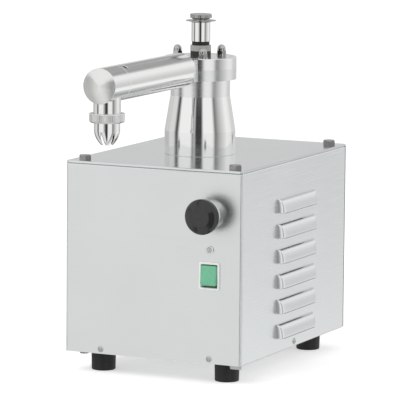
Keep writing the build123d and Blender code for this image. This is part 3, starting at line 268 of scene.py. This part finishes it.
def grained(name, tone_low, tone_high, grain_mm, rough, relief_um, **sockets):
    """Noise with cells of grain_mm moves tone between two values and lifts the skin by relief_um."""
    material, tree, shader = blank_finish(name, Roughness=rough, **sockets)
    place = add_node(tree, "ShaderNodeTexCoord")
    noise = add_node(tree, "ShaderNodeTexNoise",
                     {"Vector": place.outputs["Object"], "Scale": 1 / (grain_mm * MM), "Detail": 4.0})
    tone = add_node(tree, "ShaderNodeValToRGB", {"Fac": noise.outputs[0]})
    tone.color_ramp.elements[0].position = 0.3
    tone.color_ramp.elements[0].color = linear(tone_low)
    tone.color_ramp.elements[1].position = 0.7
    tone.color_ramp.elements[1].color = linear(tone_high)
    tree.links.new(tone.outputs[0], shader.inputs["Base Color"])
    relief = add_node(tree, "ShaderNodeBump",
                      {"Height": noise.outputs[0], "Distance": relief_um * MICROMETRE, "Strength": 1.0})
    tree.links.new(relief.outputs[0], shader.inputs["Normal"])
    return material


zinc = grained("steel_zinc_plated", "#8c8c8a", "#a4a4a2", 3.0, 0.24, 2.0, Metallic=1.0)
screw_light = grained("steel_screw_zinc_light", "#c0c0be", "#cfcfcd", 3.0, 0.30, 2.0, Metallic=1.0)
bright_nut = grained("steel_nut_polished", "#d8d8d6", "#e8e8e6", 2.0, 0.09, 0.6, Metallic=1.0)
domed_nut = grained("steel_domed_nut_polished", "#b2b2b0", "#c0c0be", 2.0, 0.10, 0.6, Metallic=1.0)
black_pin = grained("steel_pin_black_oxide", "#39393a", "#454546", 1.0, 0.35, 3.0, Metallic=0.8)
cast = grained("aluminium_sand_cast", "#a3a5a6", "#b7b9ba", 1.2, 0.48, 40.0, Metallic=1.0)
lamination = grained("steel_laminated_varnished", "#2c2c2e", "#3d3c3c", 1.0, 0.45, 15.0, Metallic=0.6)
rubber = grained("rubber_black_moulded", "#161617", "#202021", 2.5, 0.55, 12.0)
black_gloss = grained("phenolic_black_moulded", "#2a2a2b", "#2f2f30", 4.0, 0.16, 1.0)
black_matte = grained("nylon_black_moulded", "#1c1c1d", "#262627", 1.5, 0.42, 8.0)
grey_plastic = grained("acetal_grey_turned", "#a3a39f", "#b1b1ad", 1.5, 0.38, 5.0)
white_plastic = grained("polycarbonate_white_moulded", "#f1f3f1", "#f7f8f6", 6.0, 0.28, 2.0)
green_plastic = grained("polycarbonate_green_translucent", "#6cb994", "#7ac6a1", 5.0, 0.30, 3.0)
lens_clear = grained(
    "polycarbonate_clear_lens", "#e7eae9", "#ebeeed", 2.0, 0.12, 1.0, Transmission_Weight=0.35)
print("small finishes made")

# %% [markdown]
# Every CAD piece starts with the finish of its record slot. The pieces that are replaced later
# are hidden then, so only the ones that stay visible keep these.

# %% Finishes of the CAD pieces
slot_finish = {
    "brushed_steel": inner_sheet, "polished_steel": valve_polish, "satin_steel": knob_satin,
    "bright_steel": zinc, "cast_aluminium": cast, "lamination_steel": lamination,
    "black_rubber": rubber, "black_plastic": black_gloss, "matte_black_plastic": black_matte,
    "grey_plastic": grey_plastic, "white_plastic": white_plastic, "green_plastic": green_plastic,
    "clear_plastic": lens_clear,
}
own_finish = {
    "front_panel": front_sheet, "back_panel": front_sheet, "top_plate": lid_sheet,
    "pump_body": head_satin, "pump_cover": head_polish, "cap_nuts": domed_nut, "lock_pins": black_pin,
    "valve_sleeve": valve_polish, "valve_disc": knob_satin, "valve_knob": knob_satin,
    "indicator_holder": bright_nut, "panel_screws": screw_light,
}
for part in frame["record"]["subparts"]:
    holder = frame["nodes"][part["node"]]
    finish = own_finish.get(part["node"], slot_finish[part["material_slot"]])
    holder.data.materials.clear()
    holder.data.materials.append(finish)

# %% [markdown]
# A new surface is a grid of points. The grid's rows and columns give its quads by counting
# alone, doubled points at seams and poles are merged, and the mesh lands where the drawing
# says, so its object can stay at the origin.

# %% Grid and mesh tools
WELD = 2e-6
SHARP_FROM = math.radians(40)


def grid_quads(rows, columns, wrap=False):
    """Quads (r, c), (r, c + 1), (r + 1, c + 1), (r + 1, c); wrap joins the last column to the first."""
    r, c = np.meshgrid(np.arange(rows - 1), np.arange(columns if wrap else columns - 1), indexing="ij")
    nxt = (c + 1) % columns
    low, high = r * columns, (r + 1) * columns
    return np.stack([low + c, low + nxt, high + nxt, high + c], -1).reshape(-1, 4)


def make_piece(name, points, quads, finishes, body, nodes=(), pick=None):
    """Mesh object from points in drawing millimetres; pick(centres) chooses each face's finish."""
    mesh = bpy.data.meshes.new(name)
    placed = (np.asarray(points, float) + SHIFT) * MM
    mesh.from_pydata(placed.tolist(), [], np.asarray(quads).tolist())
    for finish in finishes:
        mesh.materials.append(finish)
    if pick is not None:
        centres = np.asarray(points)[np.asarray(quads)].mean(1)
        mesh.polygons.foreach_set("material_index", np.asarray(pick(centres), dtype=np.int32))
    work = bmesh.new()
    work.from_mesh(mesh)
    bmesh.ops.remove_doubles(work, verts=work.verts, dist=WELD)
    work.to_mesh(mesh)
    work.free()
    mesh.polygons.foreach_set("use_smooth", np.ones(len(mesh.polygons), dtype=bool))
    mesh.set_sharp_from_angle(angle=SHARP_FROM)
    piece = bpy.data.objects.new(name, mesh)
    scene.collection.objects.link(piece)
    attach(piece, body)
    if nodes:
        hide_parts(*nodes)
    print(name, len(mesh.polygons), "faces")
    return piece


def eased(corners, steps=5):
    """Profile (radius, height, easing) with each corner turned into a tangent arc of its easing.

    The arc starts where the sides are easing / tan(half the corner) away from the corner, and a
    point just outside it on each side keeps the long flats flat when they are shaded smoothly."""
    given = np.array([c[:2] for c in corners], float)
    radii = [c[2] if len(c) > 2 else 0.0 for c in corners]
    line = [given[0]]
    for k in range(1, len(given) - 1):
        p, r = given[k], radii[k]
        back, front = given[k - 1] - p, given[k + 1] - p
        reach = 0.45 * min(np.linalg.norm(back), np.linalg.norm(front))
        u, v = back / np.linalg.norm(back), front / np.linalg.norm(front)
        half = 0.5 * math.acos(max(-1.0, min(1.0, float(u @ v))))
        if r <= 0 or half > 1.56:
            line.append(p)
            continue
        t = min(r / math.tan(half), reach)
        r = t * math.tan(half)
        centre = p + (u + v) / np.linalg.norm(u + v) * r / math.sin(half)
        a, b = p + u * t - centre, p + v * t - centre
        sweep = math.pi - 2 * half
        f = np.linspace(0, 1, steps + 1)[:, None]
        arc = centre + (np.sin((1 - f) * sweep) * a + np.sin(f * sweep) * b) / math.sin(sweep)
        guard = min(1.25 * t + 0.05, 1.05 * reach)
        line += [p + u * guard, *arc, p + v * guard]
    line.append(given[-1])
    return np.array(line)


def lathe(profile, centre, axis, angles=None, ripple=None):
    """Points of a turned surface: (r cos a, r sin a, h) about the axis through the centre.

    Axis "Z" stands upright; axis "-Y" points to the front, with angle 0 at +X and 90 at +Z.
    ripple(angle, height, radius) is added to the radius."""
    if angles is None:
        angles = np.linspace(0, 2 * np.pi, 193)[:-1]
    radius = profile[:, :1] * np.ones_like(angles)
    height = profile[:, 1:2] * np.ones_like(angles)
    if ripple is not None:
        radius = radius + ripple(angles[None, :] * np.ones_like(radius), height, radius)
    x, y = radius * np.cos(angles), radius * np.sin(angles)
    if axis == "Z":
        points = np.stack([x + centre[0], y + centre[1], height], -1)
    else:
        points = np.stack([x + centre[0], centre[1] - height, y + centre[2]], -1)
    return points.reshape(-1, 3), grid_quads(len(profile), len(angles), wrap=True)


print("mesh tools ready")

# %% [markdown]
# The tower is one turned piece: a straight foot, a cone and a straight neck. The cone is
# polished like a mirror, the foot is finely turned and the neck is satin, so one profile is
# swept round the axis and the finish changes with the height.

# %% Tower
tower_line = eased([
    (26.0, LID_TOP), (41.0, LID_TOP, 0.3), (41.0, LID_TOP + 27.3, 0.9), (34.4, LID_TOP + 67.7, 0.9),
    (34.4, TOWER_TOP, 0.2), (17.6, TOWER_TOP, 0.0), (17.6, LID_TOP + 14.0, 0.0), (26.0, LID_TOP + 14.0, 0.0),
    (26.0, LID_TOP)])
points, quads = lathe(tower_line, TOWER, "Z")
make_piece("tower_turned", points, quads, [tower_foot, tower_mirror, tower_neck], "machine", ["tower"],
           pick=lambda c: np.digitize(c[:, 2], [LID_TOP + 27.3, LID_TOP + 67.7]))

# %% [markdown]
# The whipping tube lies level and points to the front. Its rear end is closed and well rounded.
# Near its front seam two lock pins lie a little below the surface in their bores: there the
# radius drops by the depth of the recess, with a narrow ring round the pin. The grid has extra
# rows and columns only round the pins.

# %% Whipping tube
PIN_AT = ARM_SEAM - 8.0
PIN_R = 3.0
PIN_DEPTH = 0.9
RING_DEPTH = 0.6
RING_WIDTH = 0.5
PIN_ANGLES = np.radians([65.0, 245.0])


def pin_recess(angle, height, radius):
    """Minus the pin's depth inside its radius, deeper in a ring at its edge, 0 elsewhere."""
    drop = np.zeros_like(angle)
    for a in PIN_ANGLES:
        gap = np.hypot(ARM_R * np.angle(np.exp(1j * (angle - a))), height - PIN_AT)
        drop -= PIN_DEPTH * (gap < PIN_R) + RING_DEPTH * np.exp(-((gap - PIN_R) / RING_WIDTH) ** 2)
    return np.where(radius > ARM_R - 0.5, drop, 0.0)


fine = np.concatenate([np.linspace(a - 0.22, a + 0.22, 45) for a in PIN_ANGLES])
around = np.unique(np.round(np.concatenate([np.linspace(0, 2 * np.pi, 161)[:-1], fine]) % (2 * np.pi), 5))
tube_line = eased([
    (9.0, ARM_START), (ARM_R, ARM_START, 4.5), (ARM_R, ARM_SEAM - 0.3, 0.1), (ARM_R - 0.3, ARM_SEAM, 0.05),
    (17.3, ARM_SEAM, 0.0), (17.3, ARM_START + 5.0, 0.0), (9.0, ARM_START + 5.0, 0.0), (9.0, ARM_START)])
outer_rows = np.concatenate([
    np.arange(PIN_AT - 60, PIN_AT - 6, 12), np.arange(PIN_AT - 5, PIN_AT + 5.1, 0.25)])
first = int(np.argmax((tube_line[:, 0] > ARM_R - 0.01) & (tube_line[:, 1] > PIN_AT + 6)))
extra = np.stack([np.full_like(outer_rows, ARM_R), outer_rows], -1)
tube_line = np.concatenate([tube_line[:first], extra, tube_line[first:]])
arm_axis = (TOWER[0], TOWER[1], ARM_Z)
points, quads = lathe(tube_line, arm_axis, "-Y", around, pin_recess)
make_piece("whipping_tube", points, quads, [arm_polish], "machine", ["arm_tube"])

# %% [markdown]
# The cap closes the tube. Its end face was turned towards the middle, and such a face throws
# light like a record: bright above and below, darker to the left and right. The finish of that
# face spreads its reflections across the rings and domes its shading a little, so the wedges
# show faintly. The outlet stub is a second turned body that runs into the cap from below.

# %% End cap with its outlet stub
cap_line = eased([
    (0.0, ARM_END - 3.0), (13.1, ARM_END - 3.0, 0.5), (13.1, ARM_SEAM - 14.0, 0.0), (17.1, ARM_SEAM - 14.0, 0.3),
    (17.1, ARM_SEAM + 0.3, 0.0), (ARM_R - 0.3, ARM_SEAM + 0.3, 0.05), (ARM_R, ARM_SEAM + 0.6, 0.1),
    (ARM_R, ARM_END, 0.45), (0.0, ARM_END)])
cap_points, cap_quads = lathe(cap_line, arm_axis, "-Y")
stub_line = eased([
    (11.5, STUB_BOTTOM), (STUB_R, STUB_BOTTOM, 0.3), (STUB_R, ARM_Z - 11.0, 0.0), (11.5, ARM_Z - 11.0, 0.0),
    (11.5, STUB_BOTTOM)])
stub_points, stub_quads = lathe(stub_line, (TOWER[0], NOZZLE_Y), "Z")
face_y = TOWER[1] - ARM_END


def cap_finish(centres):
    """2 on the stub, 1 on the flat end face, 0 on the rest."""
    on_stub = np.arange(len(centres)) >= len(cap_quads)
    return np.where(on_stub, 2, np.where(centres[:, 1] < face_y + 0.05, 1, 0))


make_piece("arm_cap", np.concatenate([cap_points, stub_points]),
           np.concatenate([cap_quads, stub_quads + len(cap_points)]),
           [arm_polish, arm_face, stub_polish], "arm_end", ["end_cap"], pick=cap_finish)

# %% [markdown]
# The union nut is held by its knurl, which a wheel pressed in as fine upright ridges. They are
# a cosine of the angle, and fade out on the chamfers.

# %% Union nut
KNURLS = 64
KNURL_DEPTH = 0.16


def knurl(angle, height, radius):
    """depth * (cos(count * angle) - 1) where the radius is that of the knurled band."""
    band = np.clip((radius - 19.0) / 0.6, 0, 1)
    return KNURL_DEPTH * band * (np.cos(KNURLS * angle) - 1)


union_line = eased([
    (14.8, UNION_BOTTOM), (18.2, UNION_BOTTOM, 0.5), (19.8, UNION_BOTTOM + 1.7, 0.6),
    (19.8, UNION_TOP - 0.7, 0.3), (19.1, UNION_TOP, 0.3), (15.45, UNION_TOP, 0.0),
    (15.45, UNION_BOTTOM + 1.6, 0.0), (14.8, UNION_BOTTOM + 1.6, 0.0), (14.8, UNION_BOTTOM)])
knurl_angles = np.linspace(0, 2 * np.pi, KNURLS * 8 + 1)[:-1]
points, quads = lathe(union_line, (TOWER[0], NOZZLE_Y), "Z", knurl_angles, knurl)
make_piece("union_ring", points, quads, [union_satin], "union", ["union_nut"])

# %% [markdown]
# The star nozzle is drawn from a tube of thin sheet. Below its collar the wall is cut into six
# teeth that bend inwards. Each tooth is a strip whose half-width in angle shrinks from 30
# degrees at its root to 17.5 degrees at its tip; neighbouring strips share their edges above
# the roots, and a wall thickness is added at the end.

# %% Star nozzle
COLLAR_END = ARM_Z - 49.6
TIP = ARM_Z - 65.9
TEETH = 6
TOOTH_R = 14.5
TOOTH_BEND = 7.3
ROOT_HALF = 30.0
TIP_LOSS = 12.5
down = np.concatenate([
    np.linspace(STUB_BOTTOM - 1.8, COLLAR_END, 6)[:-1], np.linspace(COLLAR_END, TIP, 34)])
t = np.clip((COLLAR_END - down) / (COLLAR_END - TIP), 0, 1)
tooth_r = TOOTH_R - TOOTH_BEND * t ** 2.1
opening = np.clip((t - 0.08) / 0.92, 0, 1)
half_width = np.radians(ROOT_HALF - TIP_LOSS * opening ** 0.8)
across = np.linspace(-1, 1, 17)
strips, faces, start = [], [], 0
for k in range(TEETH):
    angle = np.radians(2 * ROOT_HALF * k) + half_width[:, None] * across
    bulge = 1.0 - 0.04 * opening[:, None] * across ** 2
    radius = tooth_r[:, None] * bulge
    strip = np.stack([TOWER[0] + radius * np.cos(angle), NOZZLE_Y + radius * np.sin(angle),
                      down[:, None] * np.ones_like(angle)], -1).reshape(-1, 3)
    strips.append(strip)
    faces.append(grid_quads(len(down), len(across))[:, ::-1] + start)
    start += len(strip)
star = make_piece("star_nozzle_drawn", np.concatenate(strips), np.concatenate(faces), [nozzle_polish],
                  "arm_end", ["star_nozzle"])
wall = star.modifiers.new("wall", "SOLIDIFY")
wall.thickness = 0.9 * MM
wall.offset = -1.0

# %% [markdown]
# The push button is a black mushroom head in front of a bright collar. The head has a flat
# disc in the middle, a bevel round it and a rounded rim, which together make the ring of
# light and dark in the photograph.

# %% Push button
push_axis = (CONTROLS_X, -HOUSING_HALF_D, PUSH_Z)
head_line = eased([
    (0.0, 17.5), (14.0, 16.5, 0.5), (18.4, 16.5, 1.4), (20.0, 19.6, 1.6), (20.0, 24.6, 1.4),
    (17.6, 26.6, 2.0), (11.8, 29.3, 0.5), (10.6, 29.5, 0.3), (0.0, 29.5)])
points, quads = lathe(head_line, push_axis, "-Y")
make_piece("push_button_head", points, quads, [black_gloss], "push_button", ["push_head"])
collar_line = eased([
    (5.2, -22.0), (11.0, -22.0, 0.2), (11.0, 0.0, 0.0), (15.5, 0.0, 0.3), (15.5, 7.0, 0.6), (14.6, 10.5, 0.8),
    (9.0, 10.5, 0.3), (9.0, 5.5, 0.0), (5.2, 5.5, 0.0), (5.2, -22.0)])
points, quads = lathe(collar_line, push_axis, "-Y")
collar_steel = turned_steel("steel_collar_chromed", "#e4e4e3", 0.12, (CONTROLS_X, 0.0, PUSH_Z), "Y", 0.6, 0.6)
make_piece("push_collar", points, quads, [collar_steel], "machine", ["push_bezel"])

# %% [markdown]
# The switch is moulded: a white frame with a green rocker in it. Both are rounded rectangles
# carried inwards and forwards ring by ring, so a list of insets and depths is their whole
# shape. The rocker's face is dished, deepest in the middle, and the rocker is tilted at rest.

# %% Rocker switch

def rounded_rectangle(width, height, radius, per_corner=8):
    """Four quarter circles of the corner radius, joined by straight sides, anticlockwise."""
    a = np.linspace(0, np.pi / 2, per_corner)
    loop = []
    for k, (sx, sy) in enumerate([(1, 1), (-1, 1), (-1, -1), (1, -1)]):
        x = sx * (width / 2 - radius) + radius * np.cos(a + k * np.pi / 2)
        y = sy * (height / 2 - radius) + radius * np.sin(a + k * np.pi / 2)
        loop.append(np.stack([x, y], -1))
    return np.concatenate(loop)


def moulded_rings(width, height, radius, rings, dish=0.0):
    """Rings (inset, forward) of a rounded rectangle; an inset of None closes the face at its middle."""
    rows = []
    for inset, forward in rings:
        if inset is None:
            loop = np.zeros_like(rounded_rectangle(width, height, radius))
        else:
            inset = min(inset, width / 2 - 0.2)
            shrink = 1 - 2 * inset / height
            loop = rounded_rectangle(width - 2 * inset, height * shrink, max(radius - inset, 0.15))
        depth = forward - dish * np.clip(1 - (2 * loop[:, 1] / height) ** 2, 0, 1) * (forward > 4.0)
        rows.append(np.column_stack([loop, depth]))
    grid = np.stack(rows)
    return grid.reshape(-1, 3), grid_quads(len(rings), grid.shape[1], wrap=True)


def on_front(local, tilt=0.0, pivot=0.0, z=0.0):
    """Local (right, up, forward) on the front panel; tilt turns it about the pivot, which is behind."""
    right, up, forward = local.T
    forward = forward + pivot
    c, s = math.cos(tilt), math.sin(tilt)
    y, up = -forward * c - up * s, up * c - forward * s
    return np.column_stack([CONTROLS_X + right, -HOUSING_HALF_D + pivot + y, z + up])


rocker_rings = [
    (None, -5.0), (0.6, -5.0), (0.0, -1.0), (0.0, 2.6), (0.15, 3.6), (0.5, 4.25), (1.0, 4.6),
    (2.0, 4.72), (4.0, 4.8), (6.5, 4.8), (9.0, 4.8), (None, 4.8)]
local, quads = moulded_rings(19.4, 22.8, 2.6, rocker_rings, dish=0.7)
make_piece("rocker_green", on_front(local, math.radians(-8.0), 3.0, SWITCH_Z), quads, [green_plastic],
           "rocker_button", ["rocker"])
frame_rings = [
    (None, -14.0), (2.6, -14.0), (2.6, 1.6), (2.4, 2.0), (2.0, 2.2), (1.2, 2.2), (0.5, 2.05),
    (0.15, 1.7), (0.0, 1.2), (0.0, 0.0), (1.9, 0.0), (1.9, -22.0), (None, -22.0)]
local, quads = moulded_rings(25.4, 31.7, 2.2, frame_rings)
make_piece("switch_frame", on_front(local, 0.0, 0.0, SWITCH_Z), quads[:, ::-1], [white_plastic], "machine",
           ["rocker_body"])

# %% [markdown]
# The louvres are pressed out of the side sheet, not welded on: a die cuts one long slit and
# pushes the metal above it outwards, so each hood opens downwards. The sheet is one grid. A
# hood's offset is a soft minimum of two: its arch, out * (1 - (h / H) ** p) ** (1 / p) with h
# the height above the slit, and its steep end, slope * (distance from the end). At the slit the
# grid has two rows that are not joined, which leaves the real opening.

# %% Side panels with louvres
LOUVRES = 6
LOUVRE_LOW = FLOOR_GAP + 16.0
LOUVRE_PITCH = 29.0
LOUVRE_HALF = 52.0
LOUVRE_TALL = 16.5
LOUVRE_ROUND = 8.0
LOUVRE_OUT = 7.4
LOUVRE_POWER = 2.3
LOUVRE_END_SLOPE = 2.0
LOUVRE_BLEND = 3.5
PANEL_HALF_D = 146.5
BEND = 2.5
GUARD = 0.5


def hood(y, above):
    """Offset of a pressed hood at place y and height above its slit."""
    p = LOUVRE_POWER
    arch = LOUVRE_OUT * np.clip(1 - (above / LOUVRE_TALL) ** p, 0, None) ** (1 / p)
    end = LOUVRE_END_SLOPE * np.clip(LOUVRE_HALF - np.abs(y), 0, None)
    k = LOUVRE_BLEND
    return arch * end / np.clip(arch ** k + end ** k, 1e-9, None) ** (1 / k)


def side_sheet_grid():
    """Rows of (height, inset, above, hooded) and columns of (y, inset) for the right-hand panel."""
    rise = LOUVRE_TALL * np.sin(np.linspace(0, np.pi / 2, 22))
    rows, cuts = [(FLOOR_GAP, 0.0, 0.0, 0), (FLOOR_GAP + GUARD, 0.0, 0.0, 0)], []
    for k in range(LOUVRES):
        low = LOUVRE_LOW + k * LOUVRE_PITCH
        rows += [(low - GUARD, 0.0, 0.0, 0), (low, 0.0, 0.0, 0)]
        cuts.append(len(rows) - 1)
        rows += [(low + h, 0.0, h, 1) for h in rise]
        rows += [(low + LOUVRE_TALL + GUARD, 0.0, 0.0, 0)]
    rows += [(LID_BOTTOM - BEND - 0.6, 0.0, 0.0, 0)]
    bend = np.linspace(0, np.pi / 2, 7)
    rows += [(LID_BOTTOM - BEND + BEND * math.sin(a), BEND * (1 - math.cos(a)), 0.0, 0) for a in bend]
    rows += [(LID_BOTTOM, BEND + 6.0, 0.0, 0)]
    ends = LOUVRE_ROUND * np.linspace(0, 1, 25) + LOUVRE_HALF - LOUVRE_ROUND
    half = np.concatenate([
        np.linspace(0, LOUVRE_HALF - LOUVRE_ROUND, 6)[:-1], ends,
        [LOUVRE_HALF + GUARD, 100.0, PANEL_HALF_D - 1.6]])
    curl = np.linspace(0, np.pi / 2, 5)
    y = np.concatenate([half, PANEL_HALF_D - 1.0 + np.sin(curl), [PANEL_HALF_D]])
    inset = np.concatenate([np.zeros_like(half), 1.0 - np.cos(curl), [6.0]])
    columns = np.column_stack([np.concatenate([-y[::-1], y[1:]]), np.concatenate([inset[::-1], inset[1:]])])
    return np.array(rows), columns, cuts


def side_panel_piece(name, side, node):
    """One louvred side panel; side is 1 for the right one and -1 for its mirror image."""
    rows, columns, cuts = side_sheet_grid()
    z = rows[:, :1] * np.ones(len(columns))
    y = columns[:, 0] * np.ones_like(z)
    offset = hood(y, rows[:, 2:3]) * rows[:, 3:4]
    x = side * (HOUSING_HALF_W + offset - rows[:, 1:2] - columns[:, 1])
    quads = grid_quads(len(rows), len(columns))
    strip = np.arange(len(quads)) // (len(columns) - 1)
    quads = quads[~np.isin(strip, cuts)]
    points = np.stack([x, y, z], -1).reshape(-1, 3)
    piece = make_piece(name, points, quads if side > 0 else quads[:, ::-1], [side_sheet], "machine", [node])
    sheet = piece.modifiers.new("sheet", "SOLIDIFY")
    sheet.thickness = SHEET * MM
    sheet.offset = -1.0
    return piece


side_panel_piece("louvred_side_right", 1, "right_panel")
side_panel_piece("louvred_side_left", -1, "left_panel")

# %% [markdown]
# The studio is plain: a wide pale floor, two large soft lamps, one in front and one to the
# right, and walls of light. Polished steel shows nothing but its surroundings, so the walls
# matter as much as the steel: between the light walls stand dark gaps, such as the dark room
# behind the camera. The walls are a made-up arrangement whose gaps stand where they give the
# round parts their stripes. Each is a ramp of a few coarse levels: all round, over the compass
# direction (0 is towards the camera, and more is to its right), and behind the machine, over
# the height. Only reflections see them; the diffuse light is even, and the camera sees white.

# %% Floor
FLOOR_LIFT = 0.46
span = 14.0
stage_material, tree, shader = blank_finish("floor_pale_seamless", Base_Color=linear("#f4f4f3"), Roughness=0.9)
paths = add_node(tree, "ShaderNodeLightPath")
seen = add_node(tree, "ShaderNodeMath", {
    0: paths.outputs["Is Camera Ray"], 1: paths.outputs["Is Transmission Ray"]}, operation="MAXIMUM")
lift = add_node(tree, "ShaderNodeMath", {0: seen.outputs[0], 1: FLOOR_LIFT}, operation="MULTIPLY")
glow = add_node(tree, "ShaderNodeEmission", {"Color": (1, 1, 1, 1), "Strength": lift.outputs[0]})
total = add_node(tree, "ShaderNodeAddShader", {0: shader.outputs[0], 1: glow.outputs[0]})
tree.links.new(total.outputs[0], tree.nodes["Material Output"].inputs["Surface"])
floor_mesh = bpy.data.meshes.new("floor")
corners = [(-span, -span, 0), (span, -span, 0), (span, span, 0), (-span, span, 0)]
floor_mesh.from_pydata(corners, [], [(0, 1, 2, 3)])
floor_mesh.materials.append(stage_material)
floor = bpy.data.objects.new("floor", floor_mesh)
scene.collection.objects.link(floor)
floor.visible_glossy = False
print("floor", 2 * span, "m wide")

# %% Walls of light
EVEN_GREY = 0.62
HIGH_WALL = 0.95
LOW_WALL = 0.80
WALLS = [
    (-180, 0.70), (-140, 0.35), (-115, 0.75), (-95, 0.75), (-85, 0.10), (-80, 0.10), (-70, 0.95), (-30, 0.95),
    (-25, 0.25), (-18, 0.55), (-13, 0.05), (4, 0.05), (12, 0.95), (42, 0.95), (52, 0.20), (70, 0.55), (100, 0.95),
    (180, 0.70)]
BACK = [
    (-90, 0.15), (-24, 0.15), (-19, 1.00), (-12, 1.00), (-7, 0.65), (0, 0.70), (13, 0.95), (21, 0.95),
    (25, 0.30), (30, 0.55), (90, 0.80)]
BACK_LEFT = [
    (-90, 0.30), (-24, 0.20), (-10, 0.50), (3, 0.70), (11, 0.70), (15, 0.40), (25, 0.35), (90, 0.80)]
world = bpy.data.worlds.new("studio")
scene.world = world
world.use_nodes = True
tree = world.node_tree
tree.nodes.clear()
toward = np.array([math.sin(AZIMUTH), -math.cos(AZIMUTH), 0.0])
direction = add_node(tree, "ShaderNodeTexCoord")
side = add_node(tree, "ShaderNodeVectorMath",
                {0: direction.outputs["Generated"], 1: tuple(level_right)}, operation="DOT_PRODUCT")
near = add_node(tree, "ShaderNodeVectorMath",
                {0: direction.outputs["Generated"], 1: tuple(toward)}, operation="DOT_PRODUCT")
compass = add_node(tree, "ShaderNodeMath",
                   {0: side.outputs["Value"], 1: near.outputs["Value"]}, operation="ARCTAN2")


def ramp_range(value, low, high, **more):
    """0 to 1 as the value goes from low to high, and constant beyond; "To Max" replaces the 1."""
    sockets = {"Value": value, "From Min": low, "From Max": high, **more}
    return add_node(tree, "ShaderNodeMapRange", sockets)


def mixed(factor, first, second):
    """Colour from the first to the second as the factor goes from 0 to 1."""
    node = add_node(tree, "ShaderNodeMix", {"Factor": factor, 6: first, 7: second}, data_type="RGBA")
    return node.outputs[2]


def grey(level):
    """Opaque linear grey."""
    return (level, level, level, 1)


def grey_ramp(value, stops, low, high):
    """Ramp over (value, level) stops; the node takes at most 32, and value runs from low to high."""
    node = add_node(tree, "ShaderNodeValToRGB", {"Fac": value})
    for k, (place, level) in enumerate(stops):
        stop = node.color_ramp.elements[k] if k < 2 else node.color_ramp.elements.new(0.999)
        stop.position = (place - low) / (high - low)
        stop.color = (level, level, level, 1)
    return node


lap = ramp_range(compass.outputs[0], -math.pi, math.pi)
walls = grey_ramp(lap.outputs[0], WALLS, -180, 180)
height = add_node(tree, "ShaderNodeSeparateXYZ", {0: direction.outputs["Generated"]})
rise = add_node(tree, "ShaderNodeMath", {0: height.outputs[2]}, operation="ARCSINE")
rise = ramp_range(rise.outputs[0], -math.pi / 2, math.pi / 2)
back_wall = grey_ramp(rise.outputs[0], BACK, -90, 90)
left_wall = grey_ramp(rise.outputs[0], BACK_LEFT, -90, 90)
behind = ramp_range(near.outputs["Value"], -0.50, -0.62)
leftward = ramp_range(side.outputs["Value"], 0.25, 0.13)
above = ramp_range(height.outputs[2], 0.21, 0.29)
below = ramp_range(height.outputs[2], -0.17, -0.25)
from_left = ramp_range(compass.outputs[0], math.radians(-80), math.radians(-74),
                       **{"To Max": below.outputs[0]})
low_front = ramp_range(compass.outputs[0], math.radians(-16), math.radians(-22),
                       **{"To Max": from_left.outputs[0]})
rear = mixed(leftward.outputs[0], back_wall.outputs[0], left_wall.outputs[0])
surround = mixed(above.outputs[0], walls.outputs[0], grey(HIGH_WALL))
surround = mixed(low_front.outputs[0], surround, grey(LOW_WALL))
surround = mixed(behind.outputs[0], surround, rear)
paths = add_node(tree, "ShaderNodeLightPath")
mirrored = mixed(paths.outputs["Is Glossy Ray"], grey(EVEN_GREY), surround)
shown = mixed(paths.outputs["Is Camera Ray"], mirrored, grey(1.0))
background = add_node(tree, "ShaderNodeBackground", {"Color": shown, "Strength": 1.0})
add_node(tree, "ShaderNodeOutputWorld", {"Surface": background.outputs[0]})
print(len(WALLS), "stops round the compass")

# %% Soft lamps

def soft_lamp(name, place, aim, size, power):
    """Square area lamp at a place in metres, turned towards its aim."""
    data = bpy.data.lights.new(name, "AREA")
    data.size = size
    data.energy = power
    lamp = bpy.data.objects.new(name, data)
    scene.collection.objects.link(lamp)
    lamp.location = place
    lamp.rotation_euler = (Vector(aim) - Vector(place)).to_track_quat("-Z", "Y").to_euler()
    lamp.visible_glossy = False
    return lamp


soft_lamp("soft_box_front", (-1.1, -2.2, 2.2), (0, 0, 0.2), 1.6, 34.0)
soft_lamp("soft_box_right", (2.4, 0.6, 1.5), (0, 0, 0.2), 1.4, 14.0)
print("lamps set")
